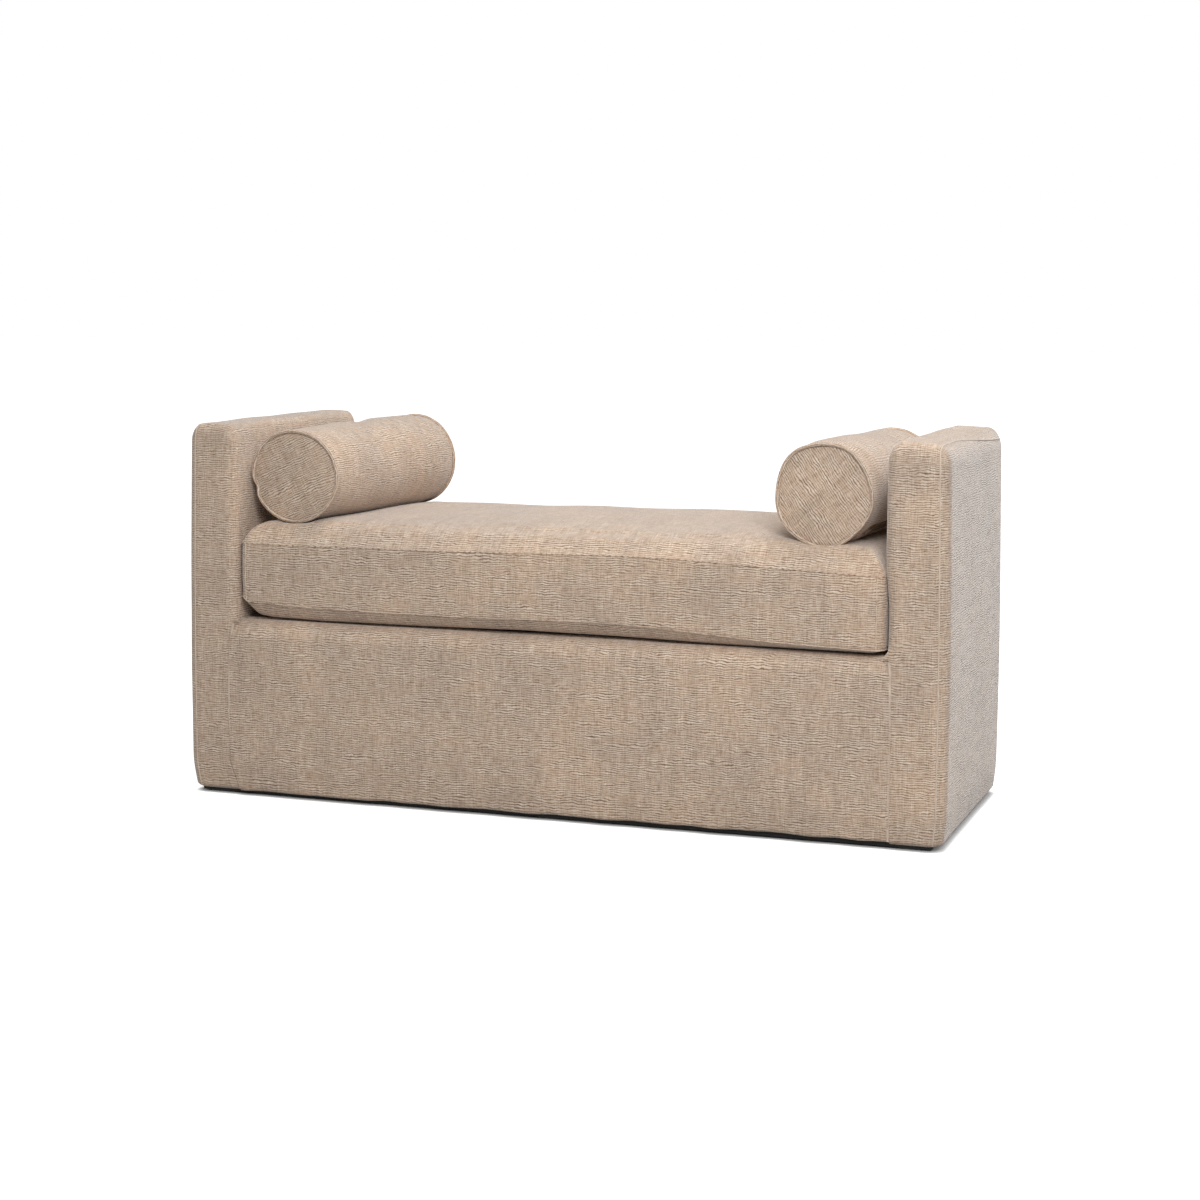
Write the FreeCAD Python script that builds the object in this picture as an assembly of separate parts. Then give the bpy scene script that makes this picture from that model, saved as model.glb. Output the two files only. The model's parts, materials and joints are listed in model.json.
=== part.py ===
import FreeCAD, Part
import math
import os

# A backless upholstered divan: two padded arms, a sprung base, a loose box cushion and two bolsters.
# Millimetres, +X to the right as seen from the front, +Y to the back, +Z up.
# The origin is on the floor, under the middle of the divan.

Vec = FreeCAD.Vector

# Overall size
WIDTH = 1430.0
DEPTH = 533.0
HEIGHT = 686.0
HALF_WIDTH = WIDTH / 2
HALF_DEPTH = DEPTH / 2

# Arms: an outer face that leans in a little, upright front and back, rounded top
ARM_INNER_X = 608.0
ARM_BOTTOM_Z = 10.0
ARM_TOP_LEAN = 8.0
ARM_OUTER_R = 28.0
ARM_INNER_R = 22.0
ARM_TOP_R = 24.0
ARM_HEM_R = 6.0
ARM_SEAM_X = 620.0
ARM_TOP_PAD = 24.0
ARM_INNER_PAD = 20.0
ARM_FRONT_PAD = 16.0
ARM_COVER_FOOT_Z = 300.0

# Covers, boards and padding of the base
CLOTH = 2.0
BOARD = 3.0
PANEL_PAD = 8.0
PANEL_BOTTOM_Z = 14.0
PANEL_TOP_R = 12.0
PANEL_HEM_R = 4.0
PANEL_FLAP = 51.5
DECK_TOP_Z = 328.0
CORNER_STEP = 26.0
EDGE_GAP = 0.3

# How near an edge lies to a face to count as on it
NEAR = 1.0

# Timber frame
FRAME_BOTTOM_Z = 16.0
RAIL_THICK = 25.0
SEAT_RAIL_TOP_Z = 285.0
SEAT_RAIL_HIGH = 82.0
BOTTOM_RAIL_HIGH = 60.0
EASED_EDGE = 3.0
ARM_FRAME_THICK = 65.0
ARM_RAIL_THICK = 30.0
ARM_RAIL_HIGH = 85.0
ARM_TOP_RAIL_HIGH = 45.0
ARM_TOP_RAIL_R = 8.0
POST_DEEP = 45.0
STUD_X = 300.0
STUD_WIDE = 45.0
BLOCK_LEG = 50.0
BLOCK_HIGH = 60.0
BLOCK_DROP = 10.0
RIB_THICK = 22.0
RIB_END_DROP = 6.0
RIB_DIP = 24.0

# Elastic webbing: straps woven over and under each other
STRAP_WIDE = 50.0
STRAP_THICK = 1.6
STRAP_WEAVE = 1.1
CROSS_STRAPS = 9
CROSS_PITCH = 130.0
LONG_STRAPS = 3
LONG_PITCH = 130.0
STRAP_FLAT = 29.0

# Plinth and glides
PLINTH_HALF_X = 690.0
PLINTH_HALF_Y = 251.5
PLINTH_THICK = 20.0
PLINTH_BOTTOM_Z = 3.0
PLINTH_GAP = 0.5
GLIDE_LONG = 40.0
GLIDE_WIDE = 16.0
GLIDE_BEVEL = 1.0
GLIDE_X = 655.0
DUST_CLOTH = 0.8

# Bolts that hold each arm to the base
BOLT_Y = 150.0
BOLT_LOW_Z = 46.0
BOLT_HIGH_Z = 250.0
BOLT_R = 4.0
BOLT_HEAD_R = 9.0
BOLT_HEAD_HIGH = 5.5
BOLT_TIP_PAST = 5.0

# Seat cushion: a box cushion with a crowned top, dished where the bolsters lie
CUSHION_HALF_X = 605.0
CUSHION_HALF_Y = 264.0
CUSHION_BOTTOM_Z = 328.4
CUSHION_LOW_SEAM_Z = 350.0
CUSHION_TOP_SEAM_Z = 476.0
CUSHION_CORNER_R = 42.0
CUSHION_SEAM_DRAW = 2.5
CUSHION_CURL = 22.0
CROWN_TOP_Z = 527.0
CROWN_LEVEL_X = 520.0
CROWN_LEVEL_Y = 205.0
CROWN_DROP_X = 22.0
CROWN_DROP_Y = 14.0
CORE_HALF_X = 588.0
CORE_HALF_Y = 245.0
CORE_BOTTOM_Z = 348.0
CORE_TOP_Z = 470.0
DISH_GAP = 0.5

# Bolsters: a round tube with a welt round each end
BOLSTER_R = 89.0
BOLSTER_END = 222.0
BOLSTER_Z = 594.0
WELT_WIDE = 8.0
WELT_FRONT = 4.0
WELT_IN = 1.5
WELT_PROUD = 2.5
LEFT_BOLSTER_X = -485.0
LEFT_BOLSTER_TURN = -7.0
RIGHT_BOLSTER_X = 497.0
RIGHT_BOLSTER_TURN = -3.0

# Zips in the covers
ZIP_TAPE_THICK = 1.2
ZIP_CHAIN_WIDE = 5.0
ZIP_CHAIN_HIGH = 1.2
SLIDER_LONG = 13.0
SLIDER_WIDE = 9.0
SLIDER_NOSE_WIDE = 6.5
SLIDER_HIGH = 2.8
SLIDER_GAP = 0.3
SEAT_ZIP_HALF = 510.0
SEAT_ZIP_WIDE = 24.0
SEAT_SLIDER_X = 500.0
BOLSTER_ZIP_HALF = 172.0
BOLSTER_ZIP_WIDE = 20.0
BOLSTER_SLIDER_Y = 160.0
BOLSTER_ZIP_ANGLE = 135.0

# Places that follow from the sizes above
ARM_PAD_INNER_X = ARM_INNER_X + CLOTH
ARM_FRAME_X = ARM_PAD_INNER_X + ARM_INNER_PAD + BOARD
ARM_FRAME_OUT_X = ARM_FRAME_X + ARM_FRAME_THICK
ARM_FRAME_TOP_Z = HEIGHT - CLOTH - ARM_TOP_PAD
ARM_FRAME_HALF_Y = HALF_DEPTH - CLOTH - ARM_FRONT_PAD
POST_TOP_Z = ARM_FRAME_TOP_Z - ARM_TOP_RAIL_HIGH
POST_BACK_Y = ARM_FRAME_HALF_Y - POST_DEEP
BASE_PAD_Y = HALF_DEPTH - CLOTH
BASE_BOARD_Y = BASE_PAD_Y - PANEL_PAD
RAIL_Y = BASE_BOARD_Y - BOARD
RAIL_BACK_Y = RAIL_Y - RAIL_THICK
SEAT_RAIL_LOW_Z = SEAT_RAIL_TOP_Z - SEAT_RAIL_HIGH
BOTTOM_RAIL_TOP_Z = FRAME_BOTTOM_Z + BOTTOM_RAIL_HIGH
END_PANEL_X = ARM_FRAME_X - RAIL_THICK
ARM_RAIL_OUT_X = ARM_FRAME_X + ARM_RAIL_THICK
ARM_RAIL_TOP_Z = ARM_COVER_FOOT_Z + 2 * EASED_EDGE
PANEL_HALF_X = ARM_SEAM_X - EDGE_GAP
FLAP_HALF_X = ARM_INNER_X - EDGE_GAP
FLAP_BACK_Y = HALF_DEPTH - PANEL_FLAP
STRAP_MID_Z = SEAT_RAIL_TOP_Z + STRAP_THICK / 2
STRAP_TOP_Z = STRAP_MID_Z + STRAP_WEAVE + STRAP_THICK / 2
DECK_PAD_TOP_Z = DECK_TOP_Z - CLOTH
EDGE_ROLL_BACK_Y = RAIL_BACK_Y - EASED_EDGE
PLINTH_BACK_Y = PLINTH_HALF_Y - PLINTH_THICK
GLIDE_Y = PLINTH_HALF_Y - PLINTH_THICK / 2
SEAT_ZIP_Z = (CUSHION_LOW_SEAM_Z + CUSHION_TOP_SEAM_Z) / 2
BOLT_PLACES = [(-BOLT_Y, BOLT_HIGH_Z), (BOLT_Y, BOLT_HIGH_Z), (0.0, BOLT_LOW_Z)]


def block(x, y, z):
    """A box between two places along each axis."""
    low = Vec(min(x), min(y), min(z))
    return Part.makeBox(max(x) - low.x, max(y) - low.y, max(z) - low.z, low)


def span(half):
    """Both ends of a stretch centred on the origin."""
    return (-half, half)


def other_side(solid):
    """The same piece for the left arm."""
    return solid.mirror(Vec(0, 0, 0), Vec(1, 0, 0))


def at_back(solid):
    """The same piece for the back of the divan."""
    return solid.mirror(Vec(0, 0, 0), Vec(0, 1, 0))


def edges_where(shape, wanted):
    """The edges whose box passes a test."""
    return [edge for edge in shape.Edges if wanted(edge.BoundBox)]


def rounded(solid, radius, wanted):
    """The solid with the edges that pass a test rounded."""
    return solid.makeFillet(radius, edges_where(solid, wanted))


def line(start, end):
    return Part.LineSegment(start, end).toShape()


def arc(start, middle, end):
    return Part.Arc(start, middle, end).toShape()


def rod(radius, start_x, end_x, y, z):
    """A round bar that runs along X."""
    return Part.makeCylinder(radius, end_x - start_x, Vec(start_x, y, z), Vec(1, 0, 0))


# Arms


def arm_bar(inset):
    """The right arm as a plain bar along Y: its outer face leans in towards the top."""
    low_z, top_z = ARM_BOTTOM_Z + inset, HEIGHT - inset
    inner_x = ARM_INNER_X + inset
    half_y = HALF_DEPTH - inset
    foot_x, shoulder_x = HALF_WIDTH - inset, HALF_WIDTH - ARM_TOP_LEAN - inset
    outline = [(inner_x, low_z), (foot_x, low_z), (shoulder_x, top_z), (inner_x, top_z)]
    ring = [Vec(x, -half_y, z) for x, z in outline + outline[:1]]
    return Part.Face(Part.makePolygon(ring)).extrude(Vec(0, 2 * half_y, 0))


def arm_form(inset):
    """The right arm's outer form, drawn in by inset: rounded bars along each axis, where they meet."""
    low_z, top_z = ARM_BOTTOM_Z + inset, HEIGHT - inset
    near_x = ARM_INNER_X + inset + NEAR
    step_z = DECK_TOP_Z - inset
    half_y = HALF_DEPTH - inset
    inner_x = ARM_INNER_X + inset
    bar = arm_bar(inset)
    upright = rounded(bar, ARM_OUTER_R - inset, lambda b: b.ZLength > HALF_DEPTH and b.XMin > near_x)
    along_y = rounded(bar, ARM_TOP_R - inset, lambda b: b.ZMin > top_z - NEAR and b.YLength > half_y)
    along_y = rounded(along_y, ARM_HEM_R - inset, lambda b: b.ZMax < low_z + NEAR and b.XMin > near_x)
    along_x = block((inner_x, WIDTH), span(half_y), (low_z, top_z))
    along_x = rounded(along_x, ARM_TOP_R - inset, lambda b: b.ZMin > top_z - NEAR and b.XLength > NEAR)
    along_x = rounded(along_x, ARM_HEM_R - inset, lambda b: b.ZMax < low_z + NEAR and b.XLength > NEAR)
    above = block((inner_x, WIDTH), span(half_y), (step_z, HEIGHT))
    above = rounded(above, ARM_INNER_R - inset, lambda b: b.ZLength > NEAR and b.XMax < near_x)
    below = block((inner_x, WIDTH), span(half_y), (0, step_z))
    return upright.common(along_y).common(along_x).common(above.fuse(below))


def base_reach():
    """Where the base and the plinth take the place of the arm's cover and padding."""
    side = (ARM_INNER_X - CORNER_STEP, ARM_FRAME_X)
    under = block(side, span(RAIL_Y), (0, ARM_COVER_FOOT_Z))
    corner_x = (ARM_INNER_X - CORNER_STEP, ARM_SEAM_X)
    corner_y = (-DEPTH, -HALF_DEPTH + CORNER_STEP)
    corner = block(corner_x, corner_y, (0, DECK_TOP_Z))
    foot_x = (ARM_INNER_X - CORNER_STEP, PLINTH_HALF_X + PLINTH_GAP)
    foot = block(foot_x, span(PLINTH_HALF_Y + PLINTH_GAP), (0, FRAME_BOTTOM_Z))
    return under.fuse([corner, at_back(corner), foot])


def arm_cover():
    """The cloth over the arm: a thin closed shell, open below where it is stapled to the frame."""
    return arm_form(0).cut(arm_form(CLOTH)).cut(base_reach())


def arm_padding():
    """Foam and wadding between the arm's cover and its boards."""
    core_x = (ARM_FRAME_X - BOARD, ARM_FRAME_OUT_X + BOARD)
    core = block(core_x, span(ARM_FRAME_HALF_Y), (FRAME_BOTTOM_Z, ARM_FRAME_TOP_Z))
    return arm_form(CLOTH).cut(core).cut(base_reach())


def arm_post():
    """The right arm's front post."""
    y = (-ARM_FRAME_HALF_Y, -POST_BACK_Y)
    return block((ARM_FRAME_X, ARM_FRAME_OUT_X), y, (FRAME_BOTTOM_Z, POST_TOP_Z))


def arm_top_rail():
    """The rail that caps both posts, its long top edges rounded for the padding."""
    rail = block((ARM_FRAME_X, ARM_FRAME_OUT_X), span(ARM_FRAME_HALF_Y), (POST_TOP_Z, ARM_FRAME_TOP_Z))
    return rounded(rail, ARM_TOP_RAIL_R, lambda b: b.ZMin > ARM_FRAME_TOP_Z - NEAR and b.YLength > POST_DEEP)


def arm_rail(low_z, top_z):
    """A rail between the posts, bored for the bolts."""
    rail = block((ARM_FRAME_X, ARM_RAIL_OUT_X), span(POST_BACK_Y), (low_z, top_z))
    for y, z in BOLT_PLACES:
        rail = rail.cut(bolt_shank(y, z))
    return rail


def arm_outer_board():
    x = (ARM_FRAME_OUT_X, ARM_FRAME_OUT_X + BOARD)
    return block(x, span(ARM_FRAME_HALF_Y), (FRAME_BOTTOM_Z, ARM_FRAME_TOP_Z))


def arm_inner_board():
    x = (ARM_FRAME_X - BOARD, ARM_FRAME_X)
    return block(x, span(ARM_FRAME_HALF_Y), (ARM_COVER_FOOT_Z, ARM_FRAME_TOP_Z))


def arm_parts():
    """Every piece of the right arm, by name."""
    seat_rail_low = ARM_RAIL_TOP_Z - ARM_RAIL_HIGH
    return {
        "arm_cover": arm_cover(),
        "arm_padding": arm_padding(),
        "arm_outer_board": arm_outer_board(),
        "arm_inner_board": arm_inner_board(),
        "arm_front_post": arm_post(),
        "arm_rear_post": at_back(arm_post()),
        "arm_top_rail": arm_top_rail(),
        "arm_seat_rail": arm_rail(seat_rail_low, ARM_RAIL_TOP_Z),
        "arm_bottom_rail": arm_rail(FRAME_BOTTOM_Z, BOTTOM_RAIL_TOP_Z),
    }


def bolt_shank(y, z):
    return rod(BOLT_R, END_PANEL_X, ARM_RAIL_OUT_X + BOLT_TIP_PAST, y, z)


def arm_bolt(y, z):
    """A coach bolt put in from inside the base, its hexagon head tight on the end panel."""
    head_x = END_PANEL_X - BOLT_HEAD_HIGH
    corners = [math.radians(60 * step) for step in range(7)]
    ring = [Vec(head_x, y + BOLT_HEAD_R * math.cos(a), z + BOLT_HEAD_R * math.sin(a)) for a in corners]
    head = Part.Face(Part.makePolygon(ring)).extrude(Vec(BOLT_HEAD_HIGH, 0, 0))
    return head.fuse(bolt_shank(y, z))


def arm_bolts():
    """The bolts of both arms, as separate solids."""
    right = [arm_bolt(y, z) for y, z in BOLT_PLACES]
    return Part.makeCompound(right + [other_side(solid) for solid in right])


# Base frame


def front_seat_rail():
    """The rail that the webbing is stapled to, its top edges eased."""
    rail = block(span(ARM_FRAME_X), (-RAIL_Y, -RAIL_BACK_Y), (SEAT_RAIL_LOW_Z, SEAT_RAIL_TOP_Z))
    return rounded(rail, EASED_EDGE, lambda b: b.ZMin > SEAT_RAIL_TOP_Z - NEAR and b.XLength > HALF_WIDTH)


def front_bottom_rail():
    return block(span(ARM_FRAME_X), (-RAIL_Y, -RAIL_BACK_Y), (FRAME_BOTTOM_Z, BOTTOM_RAIL_TOP_Z))


def rail_studs():
    """The uprights between the bottom and seat rails, front and back."""
    studs = []
    for x in span(STUD_X):
        wide = (x - STUD_WIDE / 2, x + STUD_WIDE / 2)
        stud = block(wide, (-RAIL_Y, -RAIL_BACK_Y), (BOTTOM_RAIL_TOP_Z, SEAT_RAIL_LOW_Z))
        studs += [stud, at_back(stud)]
    return Part.makeCompound(studs)


def end_panel():
    """The right end of the base: a plywood panel bored for the arm's bolts."""
    panel = block((END_PANEL_X, ARM_FRAME_X), span(RAIL_BACK_Y), (FRAME_BOTTOM_Z, SEAT_RAIL_TOP_Z))
    for y, z in BOLT_PLACES:
        panel = panel.cut(bolt_shank(y, z))
    return panel


def centre_rib():
    """A plywood rib under the webbing, dipped so that the webbing can give."""
    start_x = -RIB_THICK / 2
    end_z = SEAT_RAIL_TOP_Z - RIB_END_DROP
    left_low = Vec(start_x, -RAIL_BACK_Y, FRAME_BOTTOM_Z)
    left_top = Vec(start_x, -RAIL_BACK_Y, end_z)
    dip = Vec(start_x, 0, end_z - RIB_DIP)
    right_top = Vec(start_x, RAIL_BACK_Y, end_z)
    right_low = Vec(start_x, RAIL_BACK_Y, FRAME_BOTTOM_Z)
    outline = Part.Wire(
        [
            line(left_low, left_top),
            arc(left_top, dip, right_top),
            line(right_top, right_low),
            line(right_low, left_low),
        ]
    )
    return Part.Face(outline).extrude(Vec(RIB_THICK, 0, 0))


def corner_blocks():
    """The triangular glue blocks in the four corners under the webbing."""
    top_z = SEAT_RAIL_TOP_Z - BLOCK_DROP
    corner = Vec(END_PANEL_X, -RAIL_BACK_Y, top_z - BLOCK_HIGH)
    ring = [corner, corner + Vec(-BLOCK_LEG, 0, 0), corner + Vec(0, BLOCK_LEG, 0), corner]
    front = Part.Face(Part.makePolygon(ring)).extrude(Vec(0, 0, BLOCK_HIGH))
    right = [front, at_back(front)]
    return Part.makeCompound(right + [other_side(solid) for solid in right])


# Webbing


def strap(half_long, crossings, first_side):
    """A strap along X that passes over and under the others: flat at each crossing, sloped between them."""
    middle = [(-half_long, 0.0)]
    flat_from = crossings[0] - CROSS_PITCH / 2
    middle.append((flat_from, 0.0))
    side = first_side
    for place in crossings:
        middle.append((place - STRAP_FLAT, side * STRAP_WEAVE))
        middle.append((place + STRAP_FLAT, side * STRAP_WEAVE))
        side = -side
    middle.append((-flat_from, 0.0))
    middle.append((half_long, 0.0))
    top = [Vec(x, 0, STRAP_MID_Z + z + STRAP_THICK / 2) for x, z in middle]
    under = [Vec(x, 0, STRAP_MID_Z + z - STRAP_THICK / 2) for x, z in reversed(middle)]
    ring = top + under + [top[0]]
    solid = Part.Face(Part.makePolygon(ring)).extrude(Vec(0, STRAP_WIDE, 0))
    solid.translate(Vec(0, -STRAP_WIDE / 2, 0))
    return solid


def places(count, pitch):
    """Evenly spaced places centred on the origin."""
    return [(index - (count - 1) / 2) * pitch for index in range(count)]


def cross_webbing():
    """The short straps, from the front rail to the back rail."""
    straps = []
    for index, x in enumerate(places(CROSS_STRAPS, CROSS_PITCH)):
        side = 1 if index % 2 == 0 else -1
        piece = strap(RAIL_Y, places(LONG_STRAPS, LONG_PITCH), side)
        piece.rotate(Vec(0, 0, 0), Vec(0, 0, 1), 90)
        piece.translate(Vec(x, 0, 0))
        straps.append(piece)
    return Part.makeCompound(straps)


def long_webbing():
    """The long straps, from one end panel to the other."""
    straps = []
    for index, y in enumerate(places(LONG_STRAPS, LONG_PITCH)):
        side = -1 if index % 2 == 0 else 1
        piece = strap(ARM_FRAME_X, places(CROSS_STRAPS, CROSS_PITCH), side)
        piece.translate(Vec(0, y, 0))
        straps.append(piece)
    return Part.makeCompound(straps)


# Padding and covers of the base


def front_board():
    x = span(PANEL_HALF_X)
    return block(x, (-BASE_BOARD_Y, -RAIL_Y), (FRAME_BOTTOM_Z, SEAT_RAIL_TOP_Z))


def front_padding():
    """Thin padding between the board and the front panel's cover, rounded at the hem."""
    pad = block(span(PANEL_HALF_X), (-BASE_PAD_Y, -BASE_BOARD_Y), (FRAME_BOTTOM_Z, SEAT_RAIL_TOP_Z))
    hem_y = -BASE_PAD_Y + NEAR
    return rounded(pad, PANEL_HEM_R - CLOTH, lambda b: b.ZMax < FRAME_BOTTOM_Z + NEAR and b.YMax < hem_y)


def edge_roll():
    """The firm roll on the front rail that gives the seat its rounded edge."""
    y = (-BASE_PAD_Y, -EDGE_ROLL_BACK_Y)
    low_z = SEAT_RAIL_TOP_Z + STRAP_THICK
    roll = block(span(FLAP_HALF_X), y, (low_z, DECK_PAD_TOP_Z))
    nose_y = -BASE_PAD_Y + NEAR
    return rounded(roll, PANEL_TOP_R - CLOTH, lambda b: b.ZMin > DECK_PAD_TOP_Z - NEAR and b.YMax < nose_y)


def deck_pad():
    """The foam pad over the webbing."""
    return block(span(FLAP_HALF_X), span(EDGE_ROLL_BACK_Y), (STRAP_TOP_Z + EDGE_GAP, DECK_PAD_TOP_Z))


def deck_cover():
    """The lining cloth under the loose cushion, sewn to the front and rear panels' flaps."""
    return block(span(FLAP_HALF_X), span(FLAP_BACK_Y), (DECK_PAD_TOP_Z, DECK_TOP_Z))


def panel_solid(inset):
    """The front panel's outer form, drawn in by inset: rounded over the seat edge and at the hem."""
    y = (-HALF_DEPTH + inset, -FLAP_BACK_Y + inset)
    z = (PANEL_BOTTOM_Z + inset, DECK_TOP_Z - inset)
    form = block(span(PANEL_HALF_X), y, z)
    form = rounded(form, PANEL_TOP_R - inset, lambda b: b.ZMin > z[1] - NEAR and b.YMax < y[0] + NEAR)
    return rounded(form, PANEL_HEM_R - inset, lambda b: b.ZMax < z[0] + NEAR and b.YMax < y[0] + NEAR)


def front_panel_cover():
    """The cloth over the front: turned under at the hem, and over the edge onto the deck."""
    cloth = panel_solid(0).cut(panel_solid(CLOTH))
    under_y = (-PLINTH_HALF_Y - PLINTH_GAP, 0)
    cloth = cloth.cut(block(span(WIDTH), under_y, (0, FRAME_BOTTOM_Z)))
    beside = block((FLAP_HALF_X, WIDTH), (-HALF_DEPTH + CORNER_STEP, 0), (0, HEIGHT))
    return cloth.cut(beside).cut(other_side(beside))


def dust_cover():
    """The black cloth stapled under the frame, inside the plinth."""
    x = span(PLINTH_HALF_X - PLINTH_THICK - PLINTH_GAP)
    y = span(PLINTH_BACK_Y - PLINTH_GAP)
    return block(x, y, (FRAME_BOTTOM_Z - DUST_CLOTH, FRAME_BOTTOM_Z))


# Plinth


def glide_places():
    return [(x, y) for x in (-GLIDE_X, 0, GLIDE_X) for y in span(GLIDE_Y)]


def front_plinth():
    """The black strip set back under the front."""
    return block(span(PLINTH_HALF_X), (-PLINTH_HALF_Y, -PLINTH_BACK_Y), (PLINTH_BOTTOM_Z, FRAME_BOTTOM_Z))


def right_plinth():
    x = (PLINTH_HALF_X - PLINTH_THICK, PLINTH_HALF_X)
    return block(x, span(PLINTH_BACK_Y), (PLINTH_BOTTOM_Z, FRAME_BOTTOM_Z))


def floor_glide(x, y):
    """A flat plastic glide with its lower edges bevelled."""
    along, across = GLIDE_LONG / 2, GLIDE_WIDE / 2
    glide = block((x - along, x + along), (y - across, y + across), (0, PLINTH_BOTTOM_Z))
    return glide.makeChamfer(GLIDE_BEVEL, edges_where(glide, lambda b: b.ZMax < NEAR))


def floor_glides():
    return Part.makeCompound([floor_glide(x, y) for x, y in glide_places()])


# Zips: each is made with its tape lying on z = 0 and running along X


def zip_strip(half_long, wide):
    """The closed zip: its tape and the raised chain down the middle."""
    tape = block(span(half_long), span(wide / 2), (0, ZIP_TAPE_THICK))
    chain_z = (ZIP_TAPE_THICK, ZIP_TAPE_THICK + ZIP_CHAIN_HIGH)
    chain = block(span(half_long - SLIDER_LONG / 4), span(ZIP_CHAIN_WIDE / 2), chain_z)
    return tape.fuse(chain)


def zip_slider(x):
    """The slider's body, narrow at the nose, with a channel that the chain runs through."""
    low_z = ZIP_TAPE_THICK + SLIDER_GAP
    tail, nose = SLIDER_WIDE / 2, SLIDER_NOSE_WIDE / 2 + SLIDER_GAP
    half = SLIDER_LONG / 2
    outline = [(-half, tail), (0, tail), (half, nose), (half, -nose), (0, -tail), (-half, -tail)]
    ring = [Vec(x + along, across, low_z) for along, across in outline + outline[:1]]
    body = Part.Face(Part.makePolygon(ring)).extrude(Vec(0, 0, SLIDER_HIGH))
    channel_y = span(ZIP_CHAIN_WIDE / 2 + SLIDER_GAP)
    channel_z = (0, ZIP_TAPE_THICK + ZIP_CHAIN_HIGH + SLIDER_GAP)
    return body.cut(block((x - half, x + half), channel_y, channel_z))


# Seat cushion


def steep_arc_middle(start, end, slope):
    """The middle of the flat arc from start to end that meets the end at the given slope."""
    normal = (math.sin(slope), -math.cos(slope))
    chord = (start[0] - end[0], start[1] - end[1])
    radius = (chord[0] ** 2 + chord[1] ** 2) / (2 * (chord[0] * normal[0] + chord[1] * normal[1]))
    centre = (end[0] + radius * normal[0], end[1] + radius * normal[1])
    first = math.atan2(start[1] - centre[1], start[0] - centre[0])
    last = math.atan2(end[1] - centre[1], end[0] - centre[0])
    half_way = (first + last) / 2
    return (centre[0] + radius * math.cos(half_way), centre[1] + radius * math.sin(half_way))


def cushion_outline(half, level_half, drop, place):
    """The cushion seen along one axis: curled under, bowed at its boxing, then steep, then nearly level.

    half is half its size across. At level_half the steep arc meets the level one, drop below the crown.
    place turns a point across and up into one in space."""
    seam = half - CUSHION_SEAM_DRAW
    soft = CUSHION_CURL * (1 - math.sqrt(0.5))
    level_radius = (level_half**2 + drop**2) / (2 * drop)
    top_seam = (seam, CUSHION_TOP_SEAM_Z)
    level = (level_half, CROWN_TOP_Z - drop)
    right = [
        (seam - CUSHION_CURL, CUSHION_BOTTOM_Z),
        (seam - soft, CUSHION_BOTTOM_Z + soft),
        (seam, CUSHION_LOW_SEAM_Z),
        (half, SEAT_ZIP_Z),
        top_seam,
        steep_arc_middle(top_seam, level, -math.asin(level_half / level_radius)),
        level,
    ]
    points = [place(a, z) for a, z in right]
    points += [place(0, CROWN_TOP_Z)]
    points += [place(-a, z) for a, z in reversed(right)]
    arcs = [arc(*points[first : first + 3]) for first in range(0, len(points) - 1, 2)]
    return Part.Wire(arcs + [line(points[-1], points[0])])


def drawn_in(outline, inset):
    """A flat outline's face, drawn in by inset."""
    return Part.Face(outline.makeOffset2D(-inset) if inset else outline)


def cushion_form(inset):
    """The cushion drawn in by inset: its outlines from the front, the side and above, where they meet."""
    long_way = cushion_outline(
        CUSHION_HALF_X, CROWN_LEVEL_X, CROWN_DROP_X, lambda a, z: Vec(a, -HALF_DEPTH, z)
    )
    short_way = cushion_outline(
        CUSHION_HALF_Y, CROWN_LEVEL_Y, CROWN_DROP_Y, lambda a, z: Vec(-HALF_WIDTH, a, z)
    )
    plan = block(span(CUSHION_HALF_X - inset), span(CUSHION_HALF_Y - inset), (CUSHION_BOTTOM_Z, HEIGHT))
    plan = rounded(plan, CUSHION_CORNER_R - inset, lambda b: b.ZLength > NEAR)
    form = drawn_in(long_way, inset).extrude(Vec(0, DEPTH, 0))
    form = form.common(drawn_in(short_way, inset).extrude(Vec(WIDTH, 0, 0))).common(plan)
    for solid in bolster_dishes(DISH_GAP + inset):
        form = form.cut(solid)
    return form


def seat_zip_place(solid):
    """Moves a zip piece from z = 0 to the middle of the cushion's rear boxing, facing back."""
    solid.rotate(Vec(0, 0, 0), Vec(1, 0, 0), -90)
    solid.translate(Vec(0, CUSHION_HALF_Y - CLOTH, SEAT_ZIP_Z))
    return solid


def cushion_parts():
    """The cushion's pieces, by name, its forms worked out once."""
    outer, inner = cushion_form(0), cushion_form(CLOTH)
    slot_y = (CUSHION_HALF_Y - 2 * CLOTH, CUSHION_HALF_Y + CLOTH)
    slot_z = (SEAT_ZIP_Z - SEAT_ZIP_WIDE / 2, SEAT_ZIP_Z + SEAT_ZIP_WIDE / 2)
    slot = block(span(SEAT_ZIP_HALF), slot_y, slot_z)
    core = block(span(CORE_HALF_X), span(CORE_HALF_Y), (CORE_BOTTOM_Z, CORE_TOP_Z))
    core = rounded(core, CUSHION_CORNER_R - CLOTH, lambda b: b.ZLength > NEAR)
    return {
        "seat_cushion_cover": outer.cut(inner).cut(slot),
        "seat_cushion_wrap": inner.cut(core),
        "seat_cushion_foam": core,
        "seat_cushion_zip": seat_zip_place(zip_strip(SEAT_ZIP_HALF, SEAT_ZIP_WIDE)),
        "seat_cushion_zip_slider": seat_zip_place(zip_slider(SEAT_SLIDER_X)),
    }


# Bolsters


def spun(points):
    """A solid of revolution about Y from points given as radius and y, with both ends on the axis."""
    ring = [Vec(radius, y, 0) for radius, y in points]
    outline = Part.Face(Part.makePolygon(ring + ring[:1]))
    return outline.revolve(Vec(0, 0, 0), Vec(0, 1, 0), 360)


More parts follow.
